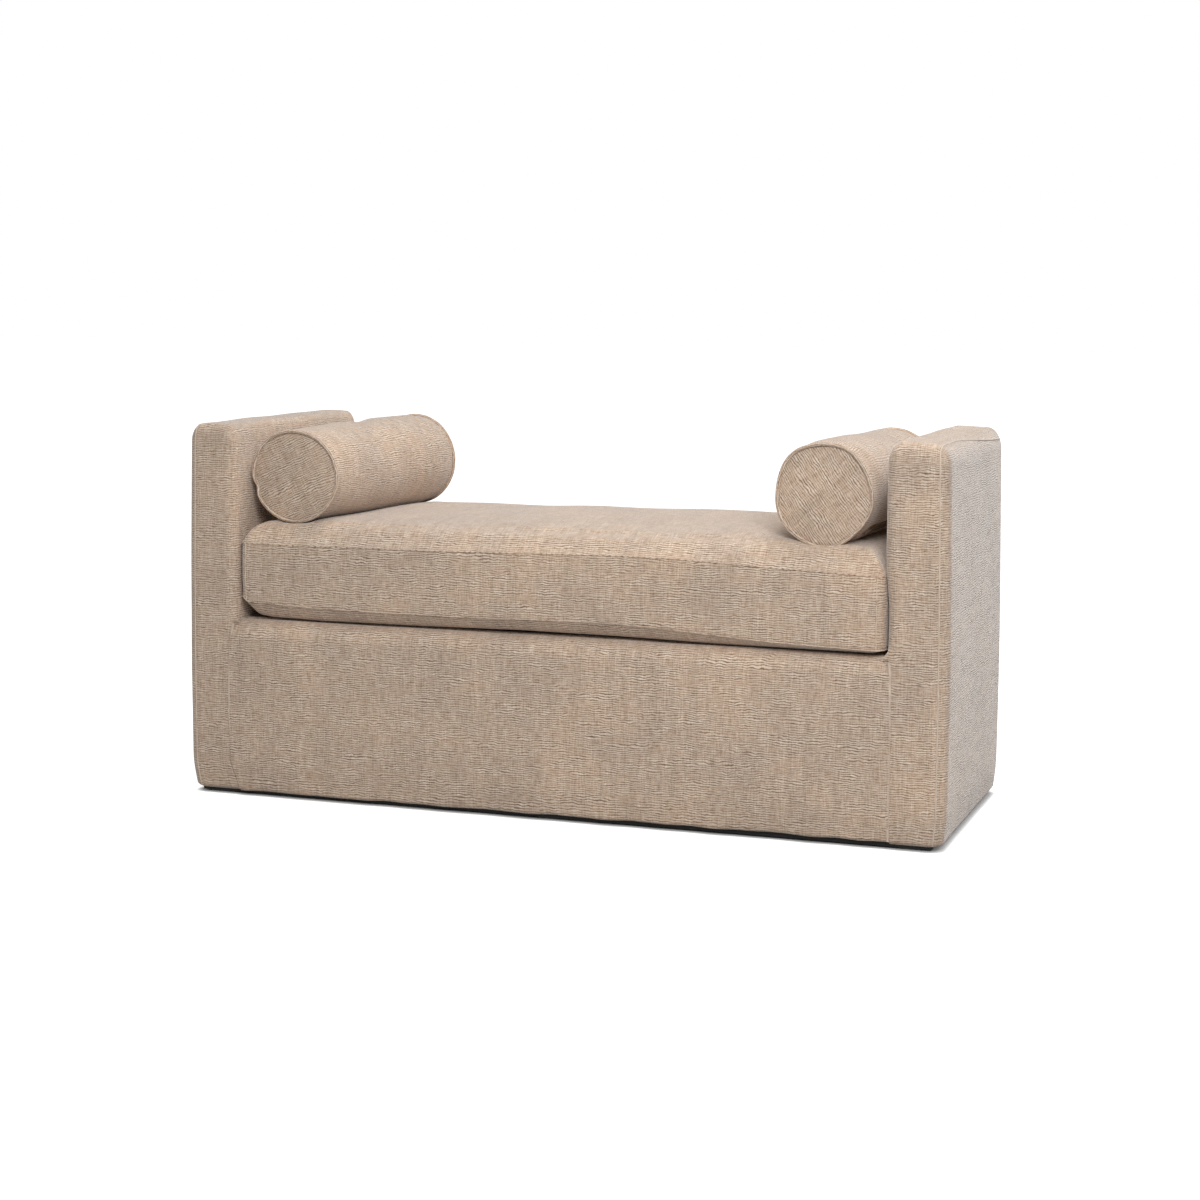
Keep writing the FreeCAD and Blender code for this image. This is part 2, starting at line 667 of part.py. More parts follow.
def tube(radius, half):
    """A plain round bar along Y."""
    return Part.makeCylinder(radius, 2 * half, Vec(0, -half, 0), Vec(0, 1, 0))


def bolster_outside():
    """A round tube along Y with a welt that stands proud round each end."""
    end = [
        (0, BOLSTER_END),
        (BOLSTER_R - WELT_IN, BOLSTER_END),
        (BOLSTER_R + WELT_PROUD, BOLSTER_END - WELT_FRONT),
        (BOLSTER_R, BOLSTER_END - WELT_WIDE),
    ]
    return spun(end + [(r, -y) for r, y in reversed(end)])


def bolster_dishes(gap):
    """What both bolsters press out of the cushion: a long hollow, a little deeper under the welts."""
    hollow = tube(BOLSTER_R + gap, BOLSTER_END)
    past_end = tube(BOLSTER_R + WELT_PROUD + gap, HALF_DEPTH)
    past_end = past_end.cut(tube(WIDTH, BOLSTER_END - WELT_WIDE - gap))
    pressed = hollow.fuse(past_end)
    return [
        bolster_place(pressed.copy(), LEFT_BOLSTER_X, LEFT_BOLSTER_TURN),
        bolster_place(pressed.copy(), RIGHT_BOLSTER_X, RIGHT_BOLSTER_TURN),
    ]


def bolster_place(solid, x, turn):
    """Moves a bolster's piece from the origin to where the bolster lies on the cushion."""
    solid.rotate(Vec(0, 0, 0), Vec(0, 0, 1), turn)
    solid.translate(Vec(x, 0, BOLSTER_Z))
    return solid


def bolster_zip_place(solid, angle):
    """Moves a zip piece from z = 0 along X to the tube's side, turned by angle from the top."""
    solid.rotate(Vec(0, 0, 0), Vec(0, 0, 1), 90)
    solid.translate(Vec(0, 0, BOLSTER_R - CLOTH))
    solid.rotate(Vec(0, 0, 0), Vec(0, 1, 0), angle)
    return solid


def bolster_parts(x, turn, zip_angle):
    """One bolster's pieces: the zip is low on the side that faces the arm."""
    slot_x = span(BOLSTER_ZIP_HALF)
    slot = block(slot_x, span(BOLSTER_ZIP_WIDE / 2), (-CLOTH, 2 * CLOTH))
    slot = bolster_zip_place(slot, zip_angle)
    pad = tube(BOLSTER_R - CLOTH, BOLSTER_END - CLOTH)
    zip_piece = bolster_zip_place(zip_strip(BOLSTER_ZIP_HALF, BOLSTER_ZIP_WIDE), zip_angle)
    slider = bolster_zip_place(zip_slider(-BOLSTER_SLIDER_Y), zip_angle)
    pieces = {
        "cover": bolster_outside().cut(pad).cut(slot),
        "pad": pad,
        "zip": zip_piece,
        "zip_slider": slider,
    }
    return {name: bolster_place(solid, x, turn) for name, solid in pieces.items()}


# The whole divan


def all_parts():
    """Every piece of the divan, by the name of its file."""
    parts = {}
    for name, solid in arm_parts().items():
        parts["right_" + name] = solid
        parts["left_" + name] = other_side(solid)
    parts["right_end_panel"] = end_panel()
    parts["left_end_panel"] = other_side(end_panel())
    parts["right_plinth"] = right_plinth()
    parts["left_plinth"] = other_side(right_plinth())
    fronts = {
        "seat_rail": front_seat_rail(),
        "bottom_rail": front_bottom_rail(),
        "board": front_board(),
        "padding": front_padding(),
        "edge_roll": edge_roll(),
        "panel_cover": front_panel_cover(),
        "plinth": front_plinth(),
    }
    for name, solid in fronts.items():
        parts["front_" + name] = solid
        parts["rear_" + name] = at_back(solid)
    parts["centre_rib"] = centre_rib()
    parts["rail_studs"] = rail_studs()
    parts["corner_blocks"] = corner_blocks()
    parts["cross_webbing"] = cross_webbing()
    parts["long_webbing"] = long_webbing()
    parts["deck_pad"] = deck_pad()
    parts["deck_cover"] = deck_cover()
    parts["dust_cover"] = dust_cover()
    parts["floor_glides"] = floor_glides()
    parts["arm_bolts"] = arm_bolts()
    parts.update(cushion_parts())
    left = bolster_parts(LEFT_BOLSTER_X, LEFT_BOLSTER_TURN, -BOLSTER_ZIP_ANGLE)
    right = bolster_parts(RIGHT_BOLSTER_X, RIGHT_BOLSTER_TURN, BOLSTER_ZIP_ANGLE)
    parts.update({"left_bolster_" + name: solid for name, solid in left.items()})
    parts.update({"right_bolster_" + name: solid for name, solid in right.items()})
    return parts


os.makedirs("parts", exist_ok=True)
for part_name, part_shape in all_parts().items():
    part_shape.exportStep("parts/" + part_name + ".step")
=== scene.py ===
import json
import math

import bmesh
import bpy
import numpy as np
from mathutils import Matrix, Vector


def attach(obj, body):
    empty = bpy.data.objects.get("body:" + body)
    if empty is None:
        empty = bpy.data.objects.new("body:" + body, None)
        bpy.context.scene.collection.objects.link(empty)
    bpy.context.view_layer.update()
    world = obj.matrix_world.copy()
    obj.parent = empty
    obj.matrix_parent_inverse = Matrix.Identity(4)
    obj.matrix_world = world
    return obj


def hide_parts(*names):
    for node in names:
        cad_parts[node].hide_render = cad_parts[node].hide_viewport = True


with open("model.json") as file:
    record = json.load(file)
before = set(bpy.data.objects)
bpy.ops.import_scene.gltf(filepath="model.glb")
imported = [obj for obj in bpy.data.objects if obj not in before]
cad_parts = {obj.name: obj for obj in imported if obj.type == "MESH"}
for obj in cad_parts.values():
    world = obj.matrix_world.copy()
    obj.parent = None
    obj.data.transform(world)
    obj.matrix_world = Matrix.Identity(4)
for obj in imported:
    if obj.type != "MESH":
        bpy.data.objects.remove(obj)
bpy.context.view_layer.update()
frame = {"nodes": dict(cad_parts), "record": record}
SCENE = bpy.context.scene
MM = 0.001
SEED = 11

# Shared sizes, in millimetres, as in the frame
HALF_DEPTH = 266.5
HEIGHT = 686.0
ARM_INNER = 608.0
ARM_SEAM = 620.0
DECK_TOP = 328.0
BOLSTER_R = 89.0
BOLSTER_END = 219.0
BOLSTER_Z = 594.0
BOLSTERS = {"left": (-485.0, -7.0), "right": (497.0, -3.0)}


# Smooth steps and noise

def smooth(low, high, value):
    """A smooth step, 0 at low and 1 at high."""
    t = np.clip((value - low) / (high - low), 0.0, 1.0)
    return t * t * (3.0 - 2.0 * t)


def bump(centre, width, value):
    """A soft rise round the centre, 1 at its highest."""
    return np.exp(-(((value - centre) / width) ** 2))


def soft_min(a, b, k):
    """The lower of two heights, with their crossing rounded over about k."""
    h = np.clip(0.5 + 0.5 * (b - a) / k, 0.0, 1.0)
    return b * (1.0 - h) + a * h - k * h * (1.0 - h)


def waves(p, scale, seed, count=10):
    """A smooth random field of about -1 to 1 over points, its lumps about scale across."""
    rng = np.random.default_rng(seed + SEED)
    total = np.zeros(p.shape[:-1])
    for _ in range(count):
        direction = rng.normal(size=p.shape[-1])
        direction /= np.linalg.norm(direction)
        length = scale * rng.uniform(0.7, 1.6)
        total += np.sin(2 * math.pi * (p @ direction) / length + rng.uniform(0, 2 * math.pi))
    return total / math.sqrt(count / 2.0) / 1.6


# Mesh building: patches of points, welded where they meet

def spaced(low, high, fine_low, fine_high, fine=3.2, coarse=7.0, marks=()):
    """Places from low to high, closer together near both ends and round each mark."""
    stops = [low]
    place = low
    while place < high - 1e-6:
        near_end = place < low + fine_low or place > high - fine_high - coarse
        near_mark = any(abs(place + 0.5 * fine - m) < 9.0 for m in marks)
        place += 1.3 if near_mark else (fine if near_end else coarse)
        stops.append(place)
    stops = np.array(stops)
    return low + (stops - low) * (high - low) / (stops[-1] - low)


class Shell:
    """Collects grids of points, with a rib coordinate each, into one welded mesh."""

    def __init__(self):
        self.points, self.faces, self.uvs = [], [], []
        self.count = 0

    def add(self, grid, uv, flip=False):
        """Adds a grid of points in millimetres, its faces turned round where flip is true."""
        rows, cols = grid.shape[:2]
        index = np.arange(rows * cols).reshape(rows, cols) + self.count
        quads = np.stack([index[:-1, :-1], index[1:, :-1], index[1:, 1:], index[:-1, 1:]], -1).reshape(-1, 4)
        local = quads - self.count
        if flip:
            quads, local = quads[:, ::-1], local[:, ::-1]
        self.points.append(grid.reshape(-1, 3))
        self.uvs.append(uv.reshape(-1, 2)[local.reshape(-1)])
        self.faces.append(quads)
        self.count += rows * cols

    def mesh(self, name):
        points = np.concatenate(self.points) * MM
        faces = np.concatenate(self.faces)
        uvs = np.concatenate(self.uvs) * MM
        mesh = bpy.data.meshes.new(name)
        mesh.from_pydata(points.tolist(), [], faces.tolist())
        layer = mesh.uv_layers.new(name="ribs")
        layer.data.foreach_set("uv", uvs.astype(np.float32).reshape(-1))
        work = bmesh.new()
        work.from_mesh(mesh)
        bmesh.ops.remove_doubles(work, verts=work.verts, dist=2e-5)
        bmesh.ops.dissolve_degenerate(work, edges=work.edges, dist=1e-6)
        work.to_mesh(mesh)
        work.free()
        mesh.polygons.foreach_set("use_smooth", [True] * len(mesh.polygons))
        mesh.update()
        return mesh


def loose(name, mesh, material):
    """An object of a mesh and a material, not yet on a body."""
    obj = bpy.data.objects.new(name, mesh)
    SCENE.collection.objects.link(obj)
    mesh.materials.append(material)
    return obj


def refine(obj):
    """Rounds off the mesh's facets by one level of subdivision."""
    finer = obj.modifiers.new("finer", "SUBSURF")
    finer.levels = 1
    finer.render_levels = 1


def piece(name, mesh, material, body, fine=False):
    """A piece of the divan that rides on a body and takes the given material."""
    obj = loose(name, mesh, material)
    if fine:
        refine(obj)
    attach(obj, body)
    return obj


def coords(mesh):
    flat = np.zeros(len(mesh.vertices) * 3, np.float32)
    mesh.vertices.foreach_get("co", flat)
    return flat.reshape(-1, 3).astype(float)


def set_coords(mesh, points):
    mesh.vertices.foreach_set("co", np.asarray(points, np.float32).reshape(-1))
    mesh.update()


# Materials

RIB_PITCH = 0.0041


class Graph:
    """Adds nodes to the tree of one material or world, and links them."""

    def __init__(self, tree):
        self.tree = tree

    def feed(self, socket, value):
        """Gives a socket a plain value, or another node's output."""
        if isinstance(value, bpy.types.NodeSocket):
            self.tree.links.new(value, socket)
        else:
            socket.default_value = value

    def node(self, kind, inputs=None, **values):
        made = self.tree.nodes.new(kind)
        for key, value in values.items():
            setattr(made, key, value)
        for key, value in (inputs or {}).items():
            self.feed(made.inputs[key], value)
        return made

    def object_place(self):
        return self.node("ShaderNodeTexCoord").outputs["Object"]

    def math(self, operation, *values):
        return self.node("ShaderNodeMath", dict(enumerate(values)), operation=operation).outputs[0]

    def add_centred(self, value, share, height):
        """The height plus a share of a value from 0 to 1, taken about its middle."""
        return self.math("MULTIPLY_ADD", self.math("SUBTRACT", value, 0.5), share, height)

    def noise(self, vector, scale=1.0, detail=2.0, rough=0.5):
        inputs = {"Scale": scale, "Detail": detail, "Roughness": rough, "Vector": vector}
        return self.node("ShaderNodeTexNoise", inputs).outputs["Fac"]

    def stretched(self, vector, across, up, shift=0.0):
        """The rib coordinate with one unit every across and up metres."""
        scale, place = (1.0 / across, 1.0 / up, 1.0), (shift, shift * 0.37, 0.0)
        inputs = {"Scale": scale, "Location": place, "Vector": vector}
        return self.node("ShaderNodeMapping", inputs).outputs["Vector"]

    def ramp(self, value, stops):
        made = self.node("ShaderNodeValToRGB", {"Fac": value})
        elements = made.color_ramp.elements
        while len(elements) < len(stops):
            elements.new(0.5)
        for element, (place, colour) in zip(elements, stops):
            element.position = place
            element.color = (*colour, 1.0)
        return made.outputs["Color"]

    def mix(self, factor, a, b, kind):
        inputs = {"Factor": factor, "A": a, "B": b}
        return self.node("ShaderNodeMix", inputs, data_type="RGBA", blend_type=kind).outputs["Result"]


class Finish(Graph):
    """A material under construction, with its Principled shader."""

    def __init__(self, name):
        self.material = bpy.data.materials.new(name)
        self.material.use_nodes = True
        super().__init__(self.material.node_tree)
        self.shader = self.tree.nodes["Principled BSDF"]

    def set(self, **values):
        """Feeds the shader's sockets, named with underscores for spaces."""
        for key, value in values.items():
            self.feed(self.shader.inputs[key.replace("_", " ")], value)

    def relief(self, height, strength, distance):
        inputs = {"Strength": strength, "Distance": distance, "Height": height}
        self.set(Normal=self.node("ShaderNodeBump", inputs).outputs["Normal"])

    def pile(self):
        """The soft, dull sheen of the chenille."""
        self.set(Roughness=0.92, Specular_IOR_Level=0.15, Sheen_Weight=0.7, Sheen_Roughness=0.4)


def linear(r, g, b):
    """A linear colour from 0 to 255 screen values."""
    shares = [value / 255 for value in (r, g, b)]
    return tuple((v / 12.92) if v <= 0.04045 else ((v + 0.055) / 1.055) ** 2.4 for v in shares)


def rib_rows(finish, ribs_uv):
    """Counts the ribs upward in a cloth's own map, with lines that waver and merge."""
    split = finish.node("ShaderNodeSeparateXYZ", {"Vector": ribs_uv})
    wander = finish.noise(finish.stretched(ribs_uv, 0.019, 0.015), rough=0.55)
    drift = finish.noise(finish.stretched(ribs_uv, 0.110, 0.045, 3.1), detail=1.0)
    rows = finish.math("MULTIPLY", split.outputs["Y"], 1.0 / RIB_PITCH)
    rows = finish.math("MULTIPLY_ADD", wander, 2.0, rows)
    return finish.math("MULTIPLY_ADD", drift, 2.4, rows)


def rib_height(finish, ribs_uv):
    """Ribs that fade and break, with warp threads and yarn across them, about 0 to 1 high."""
    turn = finish.math("MULTIPLY", rib_rows(finish, ribs_uv), math.pi)
    turn = finish.math("ABSOLUTE", finish.math("SINE", turn))
    round_rib = finish.math("SUBTRACT", finish.math("POWER", turn, 0.55), 0.72)
    fade = finish.noise(finish.stretched(ribs_uv, 0.055, 0.018, 4.4), rough=0.6)
    depth = finish.math("MAXIMUM", finish.math("MULTIPLY_ADD", fade, 2.6, -0.62), 0.12)
    height = finish.math("MULTIPLY_ADD", finish.math("MULTIPLY", round_rib, depth), 0.95, 0.5)
    breaks = finish.noise(finish.stretched(ribs_uv, 0.016, 0.0034, 7.7), rough=0.6)
    warp = finish.noise(finish.stretched(ribs_uv, 0.0026, 0.026, 1.9), detail=1.0)
    yarn = finish.noise(finish.stretched(ribs_uv, 0.0018, 0.0016, 5.0))
    height = finish.add_centred(breaks, 0.60, height)
    height = finish.add_centred(warp, 0.45, height)
    return finish.add_centred(yarn, 0.5, height)


def chenille():
    """Crinkled chenille: wavy ribs that merge and break, fine warp streaks, and patches of turned pile."""
    finish = Finish("crinkled_chenille")
    ribs_uv = finish.node("ShaderNodeUVMap", uv_map="ribs").outputs["UV"]
    height = rib_height(finish, ribs_uv)
    groove, middle, ridge_tone = linear(110, 93, 79), linear(191, 172, 155), linear(236, 224, 210)
    colour = finish.ramp(height, [(0.05, groove), (0.50, middle), (0.95, ridge_tone)])
    patches = finish.noise(finish.object_place(), 9.0, 3.0, 0.55)
    cool, plain, warm = linear(184, 170, 158), linear(190, 173, 158), linear(198, 174, 154)
    tint = finish.ramp(patches, [(0.30, cool), (0.50, plain), (0.70, warm)])
    colour = finish.mix(0.55, colour, tint, "SOFT_LIGHT")
    streaks = finish.noise(finish.stretched(ribs_uv, 0.014, 0.22, 9.0))
    level = finish.ramp(streaks, [(0.25, (0.90, 0.90, 0.90)), (0.75, (1.06, 1.06, 1.07))])
    colour = finish.mix(1.0, colour, level, "MULTIPLY")
    turned = finish.ramp(patches, [(0.32, (0.93, 0.93, 0.94)), (0.68, (1.05, 1.05, 1.045))])
    finish.set(Base_Color=finish.mix(1.0, colour, turned, "MULTIPLY"))
    finish.relief(height, 0.6, 0.0010)
    finish.pile()
    finish.set(Sheen_Tint=(1.0, 0.985, 0.975, 1.0))
    return finish.material


def seam_cloth_painted_highlight():
    """The cover's smooth, stretched fold over a seam, without ribs, painted lighter than the cover as a
    highlight along the raised seam.
    """
    finish = Finish("seam_fold_painted_highlight")
    slow = finish.noise(finish.object_place(), 60.0)
    # Painted highlight: this cloth is lighter than the cover's middle tone, standing in for the light that
    # the raised seam catches.
    finish.set(Base_Color=finish.ramp(slow, [(0.3, linear(196, 177, 159)), (0.7, linear(214, 197, 180))]))
    finish.pile()
    return finish.material


def woven(name, light, dark, across=0.0011):
    """A plain woven cloth or tape: crossing threads with a slight slub."""
    finish = Finish(name)
    place = finish.object_place()
    threads = {"Scale": 0.16 / across, "Distortion": 0.6, "Vector": place}
    bands = [finish.node("ShaderNodeTexWave", threads, bands_direction=axis).outputs["Fac"] for axis in "XY"]
    weave = finish.math("MULTIPLY", *bands)
    height = finish.math("MULTIPLY_ADD", finish.noise(place, 240.0), 0.5, weave)
    finish.relief(height, 0.4, 0.0005)
    finish.set(Roughness=0.95, Base_Color=finish.ramp(height, [(0.2, dark), (0.9, light)]))
    return finish.material


def timber(name, light, dark, grain_axis=(1.0, 12.0, 12.0), rough=0.6):
    """Planed timber, ply or board with grain along one axis."""
    finish = Finish(name)
    inputs = {"Scale": grain_axis, "Vector": finish.object_place()}
    place = finish.node("ShaderNodeMapping", inputs).outputs["Vector"]
    grain, pores = finish.noise(place, 14.0, 6.0, 0.65), finish.noise(place, 120.0)
    height = finish.math("MULTIPLY_ADD", pores, 0.25, grain)
    finish.relief(height, 0.25, 0.0006)
    finish.set(Roughness=rough, Base_Color=finish.ramp(height, [(0.35, dark), (0.85, light)]))
    return finish.material


def foam_material(name, light, dark, scale=900.0):
    """Open-cell foam or matted fibre."""
    finish = Finish(name)
    cells = finish.noise(finish.object_place(), scale, 3.0, 0.7)
    finish.relief(cells, 0.5, 0.0008)
    finish.set(Roughness=0.97, Base_Color=finish.ramp(cells, [(0.3, dark), (0.7, light)]))
    return finish.material


def hard_material(name, colour, worn, rough, metallic=0.0):
    """Moulded plastic or plated metal with light scuffs."""
    finish = Finish(name)
    scuffs = finish.noise(finish.object_place(), 160.0, 4.0, 0.6)
    finish.relief(scuffs, 0.15, 0.0003)
    tone = finish.ramp(scuffs, [(0.45, colour), (0.75, worn)])
    finish.set(Roughness=rough, Metallic=metallic, Base_Color=tone)
    return finish.material


FABRIC = chenille()
SEAM_CLOTH_PAINTED_HIGHLIGHT = seam_cloth_painted_highlight()
MATERIALS = {
    "cover_fabric": FABRIC,
    "deck_lining": woven("deck_lining_cloth", linear(178, 160, 142), linear(150, 132, 115)),
    "dust_cloth": woven("dust_cloth", linear(52, 51, 50), linear(30, 29, 29), 0.002),
    "foam": foam_material("seat_foam", linear(238, 230, 206), linear(214, 203, 174)),
    "fibre_fill": foam_material("fibre_fill", linear(243, 242, 238), linear(222, 221, 216), 400.0),
    "hardwood": timber("frame_timber", linear(206, 174, 134), linear(168, 132, 92)),
    "plywood": timber("plywood", linear(216, 186, 146), linear(184, 150, 108), (12.0, 1.0, 6.0)),
    "hardboard": timber("pressed_board", linear(140, 108, 80), linear(104, 78, 56), (9.0, 9.0, 9.0), 0.75),
    "webbing": woven("elastic_webbing", linear(58, 56, 54), linear(30, 29, 28), 0.0022),
    "plinth_black": timber("plinth_black", linear(24, 22, 21), linear(12, 11, 11), (1.0, 9.0, 9.0), 0.7),
    "zip_tape": woven("zip_tape", linear(176, 156, 136), linear(138, 119, 101), 0.0012),
    "zip_metal": hard_material("zip_metal", linear(132, 121, 108), linear(176, 168, 156), 0.35, 0.6),
    "steel": hard_material("zinc_plate", linear(160, 161, 164), linear(190, 190, 188), 0.32, 1.0),
    "glide_plastic": hard_material("glide_plastic", linear(42, 42, 43), linear(82, 80, 78), 0.55),
}
for part in frame["record"]["subparts"]:
    shown = frame["nodes"][part["node"]]
    shown.data.materials.clear()
    shown.data.materials.append(MATERIALS[part["material_slot"]])


# Arms: padded boxes with rounded edges, cut in two by the seam where the front panel joins

ARM_FOOT = 10.0
ARM_LOW = (ARM_INNER, -HALF_DEPTH, ARM_FOOT)

# What differs between the arms in the photograph: lengths in millimetres, radii along X, Y and Z
ARM_FORM = {
    "left": {
        "outer": 710.5, "radii_low": (18.0, 18.0, 10.0), "radii_high": (24.0, 22.0, 30.0), "hem_drop": 4.0,
        "lean_top": 8.8, "lean_low": 7.5, "belly": 3.4, "inward": 0.5, "inner_rise": 0.0, "seed": 5,
        "seam_heights": (10, 25, 60, 150, 250, 300, 330), "seam_places": (603, 609, 621, 626, 624, 619, 613),
    },
    "right": {
        "outer": 714.5, "radii_low": (20.0, 27.0, 10.0), "radii_high": (27.0, 27.0, 36.0), "hem_drop": 4.6,
        "lean_top": 8.0, "lean_low": 5.5, "belly": 1.2, "inward": 7.0, "inner_rise": 3.0, "seed": 9,
        "seam_heights": (10, 150, 300, 330), "seam_places": (617, 617, 616, 612),
    },
}
OUTWARD = {"left": -1.0, "right": 1.0}


def foot_tuck(z):
    """How far the covers draw in towards their hem."""
    return 4.0 * (1 - smooth(8, 70, z)) ** 1.6


def arm_high(side):
    return ARM_FORM[side]["outer"], HALF_DEPTH, HEIGHT


def seam_x(side, z):
    """Where the seam between arm and panel runs, as a distance from the middle."""
    return np.interp(z, ARM_FORM[side]["seam_heights"], ARM_FORM[side]["seam_places"])


def round_box(p, low, high, radii_low, radii_high):
    """Moves points on a box onto the same box with its edges rounded; the radii differ side by side."""
    low, high = np.array(low), np.array(high)
    radii_low, radii_high = np.array(radii_low), np.array(radii_high)
    core = np.clip(p, low + radii_low, high - radii_high)
    out = p - core
    radii = np.where(out < 0, radii_low, radii_high)
    e = out / radii
    a, b, c = np.moveaxis(e**2, -1, 0)
    factor = np.stack([
        np.sqrt(np.maximum(1 - b / 2 - c / 2 + b * c / 3, 0)),
        np.sqrt(np.maximum(1 - a / 2 - c / 2 + a * c / 3, 0)),
        np.sqrt(np.maximum(1 - a / 2 - b / 2 + a * b / 3, 0)),
    ], -1)
    return core + radii * e * factor


def arm_swell(p, side):
    """The arm's lean, belly and uneven faces, as padding under a stretched cover gives them."""
    form = ARM_FORM[side]
    x, y, z = (values.copy() for values in np.moveaxis(p, -1, 0))
    across = (x - ARM_INNER) / (form["outer"] - ARM_INNER)
    up = np.clip((z - ARM_FOOT) / (HEIGHT - ARM_FOOT), 0, 1)
    lean = form["lean_top"] * np.clip((z - 240) / (HEIGHT - 240), 0, 1) ** 1.2
    lean += form["lean_low"] * (1 - smooth(4, 78, z)) ** 1.5
    x -= lean * np.clip(across, 0, 1)

    side_mid = np.clip(1 - (y / HALF_DEPTH) ** 4, 0, 1)
    swell = form["belly"] * np.sin(math.pi * up) + 0.8 * waves(p, 260.0, form["seed"])
    x += smooth(0.75, 1.0, across) * side_mid * swell
    face_in = 1 - smooth(0.0, 0.25, across)
    x -= face_in * form["inward"] * smooth(400, 500, z) * (1 - smooth(-190, -40, y))

    front = smooth(0.90, 1.0, np.abs(y) / HALF_DEPTH)
    y += np.sign(y) * front * (0.7 * waves(p, 170.0, form["seed"] + 1) - 0.4 - foot_tuck(z))

    top = smooth(0.93, 1.0, up)
    dome = 3.0 * np.sin(math.pi * np.clip(across, 0, 1)) + 1.0
    z += top * (0.9 * waves(p, 190.0, form["seed"] + 2) + dome)
    z += top * form["inner_rise"] * (1 - smooth(0.1, 0.6, across))
    return x, y, z


def arm_point(grid, side):
    """Places of the padded arm's surface for points on its plain box."""
    form = ARM_FORM[side]
    gx, gy, gz = np.moveaxis(grid, -1, 0)
    p = round_box(grid, ARM_LOW, arm_high(side), form["radii_low"], form["radii_high"])

    # The strip beside the panel, below the deck, keeps its square edge
    square = (1 - smooth(320, 352, gz)) * (1 - smooth(632, 644, gx)) * (gz > 40)
    p = p + (grid - p) * square[..., None]
    x, y, z = arm_swell(p, side)

    # At the panel the cover dips to the seam, and past the seam it is tucked in behind
    reach = np.abs(y) / HALF_DEPTH
    at_seam = (1 - smooth(324, 334, gz)) * (1 - smooth(0.0, 5.0, gx - ARM_SEAM)) * smooth(0.93, 0.97, reach)
    y -= np.sign(y) * 0.6 * at_seam
    tucked = (gx < ARM_SEAM - 0.5) * (1 - smooth(320, 326, gz))
    y -= np.sign(y) * 6.0 * tucked * smooth(0.8, 0.95, np.abs(y) / HALF_DEPTH)

    # The hem sags, and the cloth turned in under it lies higher
    inset = np.minimum(form["outer"] - gx, HALF_DEPTH - np.abs(gy))
    turned_in = smooth(5, 14, inset) * (gz < ARM_FOOT + 0.5)
    z += 6.4 * turned_in - form["hem_drop"] * (1 - smooth(8, 70, gz)) * (1 - turned_in)

    shift = (seam_x(side, z) - ARM_SEAM) * (1 - smooth(0, 46, gx - ARM_SEAM)) * (1 - smooth(326, 346, gz))
    x += np.where(gx < ARM_INNER + 1, np.maximum(shift, 0.0) * tucked, shift)
    return np.stack([x, y, z], -1)


def arm_faces(side):
    """The six faces of the arm's plain box: points, rib coordinates and whether the face is turned round."""
    low, high = ARM_LOW, arm_high(side)
    xs = spaced(low[0], high[0], 24, 32, 2.6, 5.0, (ARM_SEAM,))
    ys = spaced(low[1], high[1], 30, 30, 3.2, 8.0)
    zs = spaced(low[2], high[2], 16, 32, 2.8, 7.0, (DECK_TOP,))
    for index, place in enumerate((low[0], high[0])):
        y, z = np.meshgrid(ys, zs, indexing="ij")
        along = (low[0] - (y - low[1])) if index == 0 else (high[0] + (y - low[1]))
        yield np.stack([np.full_like(y, place), y, z], -1), np.stack([along, z], -1), index == 0
    for index, place in enumerate((low[1], high[1])):
        x, z = np.meshgrid(xs, zs, indexing="ij")
        yield np.stack([x, np.full_like(x, place), z], -1), np.stack([x + 2000.0 * index, z], -1), index == 1
    for index, place in enumerate((low[2], high[2])):
        x, y = np.meshgrid(xs, ys, indexing="ij")
        grid = np.stack([x, y, np.full_like(x, place)], -1)
        yield grid, np.stack([x, high[2] + y - low[1]], -1), index == 0


def build_arm(side):
    shell = Shell()
    for grid, uv, flip in arm_faces(side):
        shaped = arm_point(grid, side)
        shaped[..., 0] *= OUTWARD[side]
        shell.add(shaped, uv + (0 if side == "left" else 911.0), flip != (side == "left"))
    name = side + "_arm_upholstery"
    arm = piece(name, shell.mesh(name), FABRIC, "divan", fine=True)
    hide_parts(side + "_arm_cover", side + "_arm_padding")


def tube_mesh(name, path, radius, closed=False, sides=8, uneven=0.06, crossing=False):
    """A thin sewn ridge or cord along a path, a little uneven in thickness; ribs run along it or cross it."""
    path = np.asarray(path, float)
    ahead = np.roll(path, -1, 0) - np.roll(path, 1, 0)
    if not closed:
        ahead[0], ahead[-1] = path[1] - path[0], path[-1] - path[-2]
    ahead /= np.linalg.norm(ahead, axis=1, keepdims=True)
    first = np.cross(ahead[0], [0.0, 0.3, 1.0])
    frames = []
    for direction in ahead:
        first = first - direction * (first @ direction)
        first /= np.linalg.norm(first)
        frames.append(first)
    frames = np.array(frames)
    other = np.cross(ahead, frames)
    if closed:
        path, frames, other = (np.concatenate([v, v[:1]]) for v in (path, frames, other))
    phi = np.linspace(0, 2 * math.pi, sides + 1)
    steps = np.concatenate([[0], np.cumsum(np.linalg.norm(np.diff(path, axis=0), axis=1))])
    thick = radius * (1 + uneven * np.sin(steps / 7.0) * np.sin(steps / 23.0 + 1.0))
    grid = path[:, None] + thick[:, None, None] * (
        np.cos(phi)[None, :, None] * frames[:, None] + np.sin(phi)[None, :, None] * other[:, None])
    uv = np.stack([steps[:, None] + 0 * phi[None], phi[None] * radius + 0 * steps[:, None] + 4000.0], -1)
    if crossing:
        uv = np.stack([uv[..., 1], 0.35 * uv[..., 0]], -1)
    shell = Shell()
    shell.add(grid, uv)
    return shell.mesh(name)


def ridge(name, path, radius, body, cloth, closed=False, crossing=False):
    """A sewn ridge of cloth that rides on a body."""
    piece(name, tube_mesh(name, path, radius, closed, crossing=crossing), cloth, body)


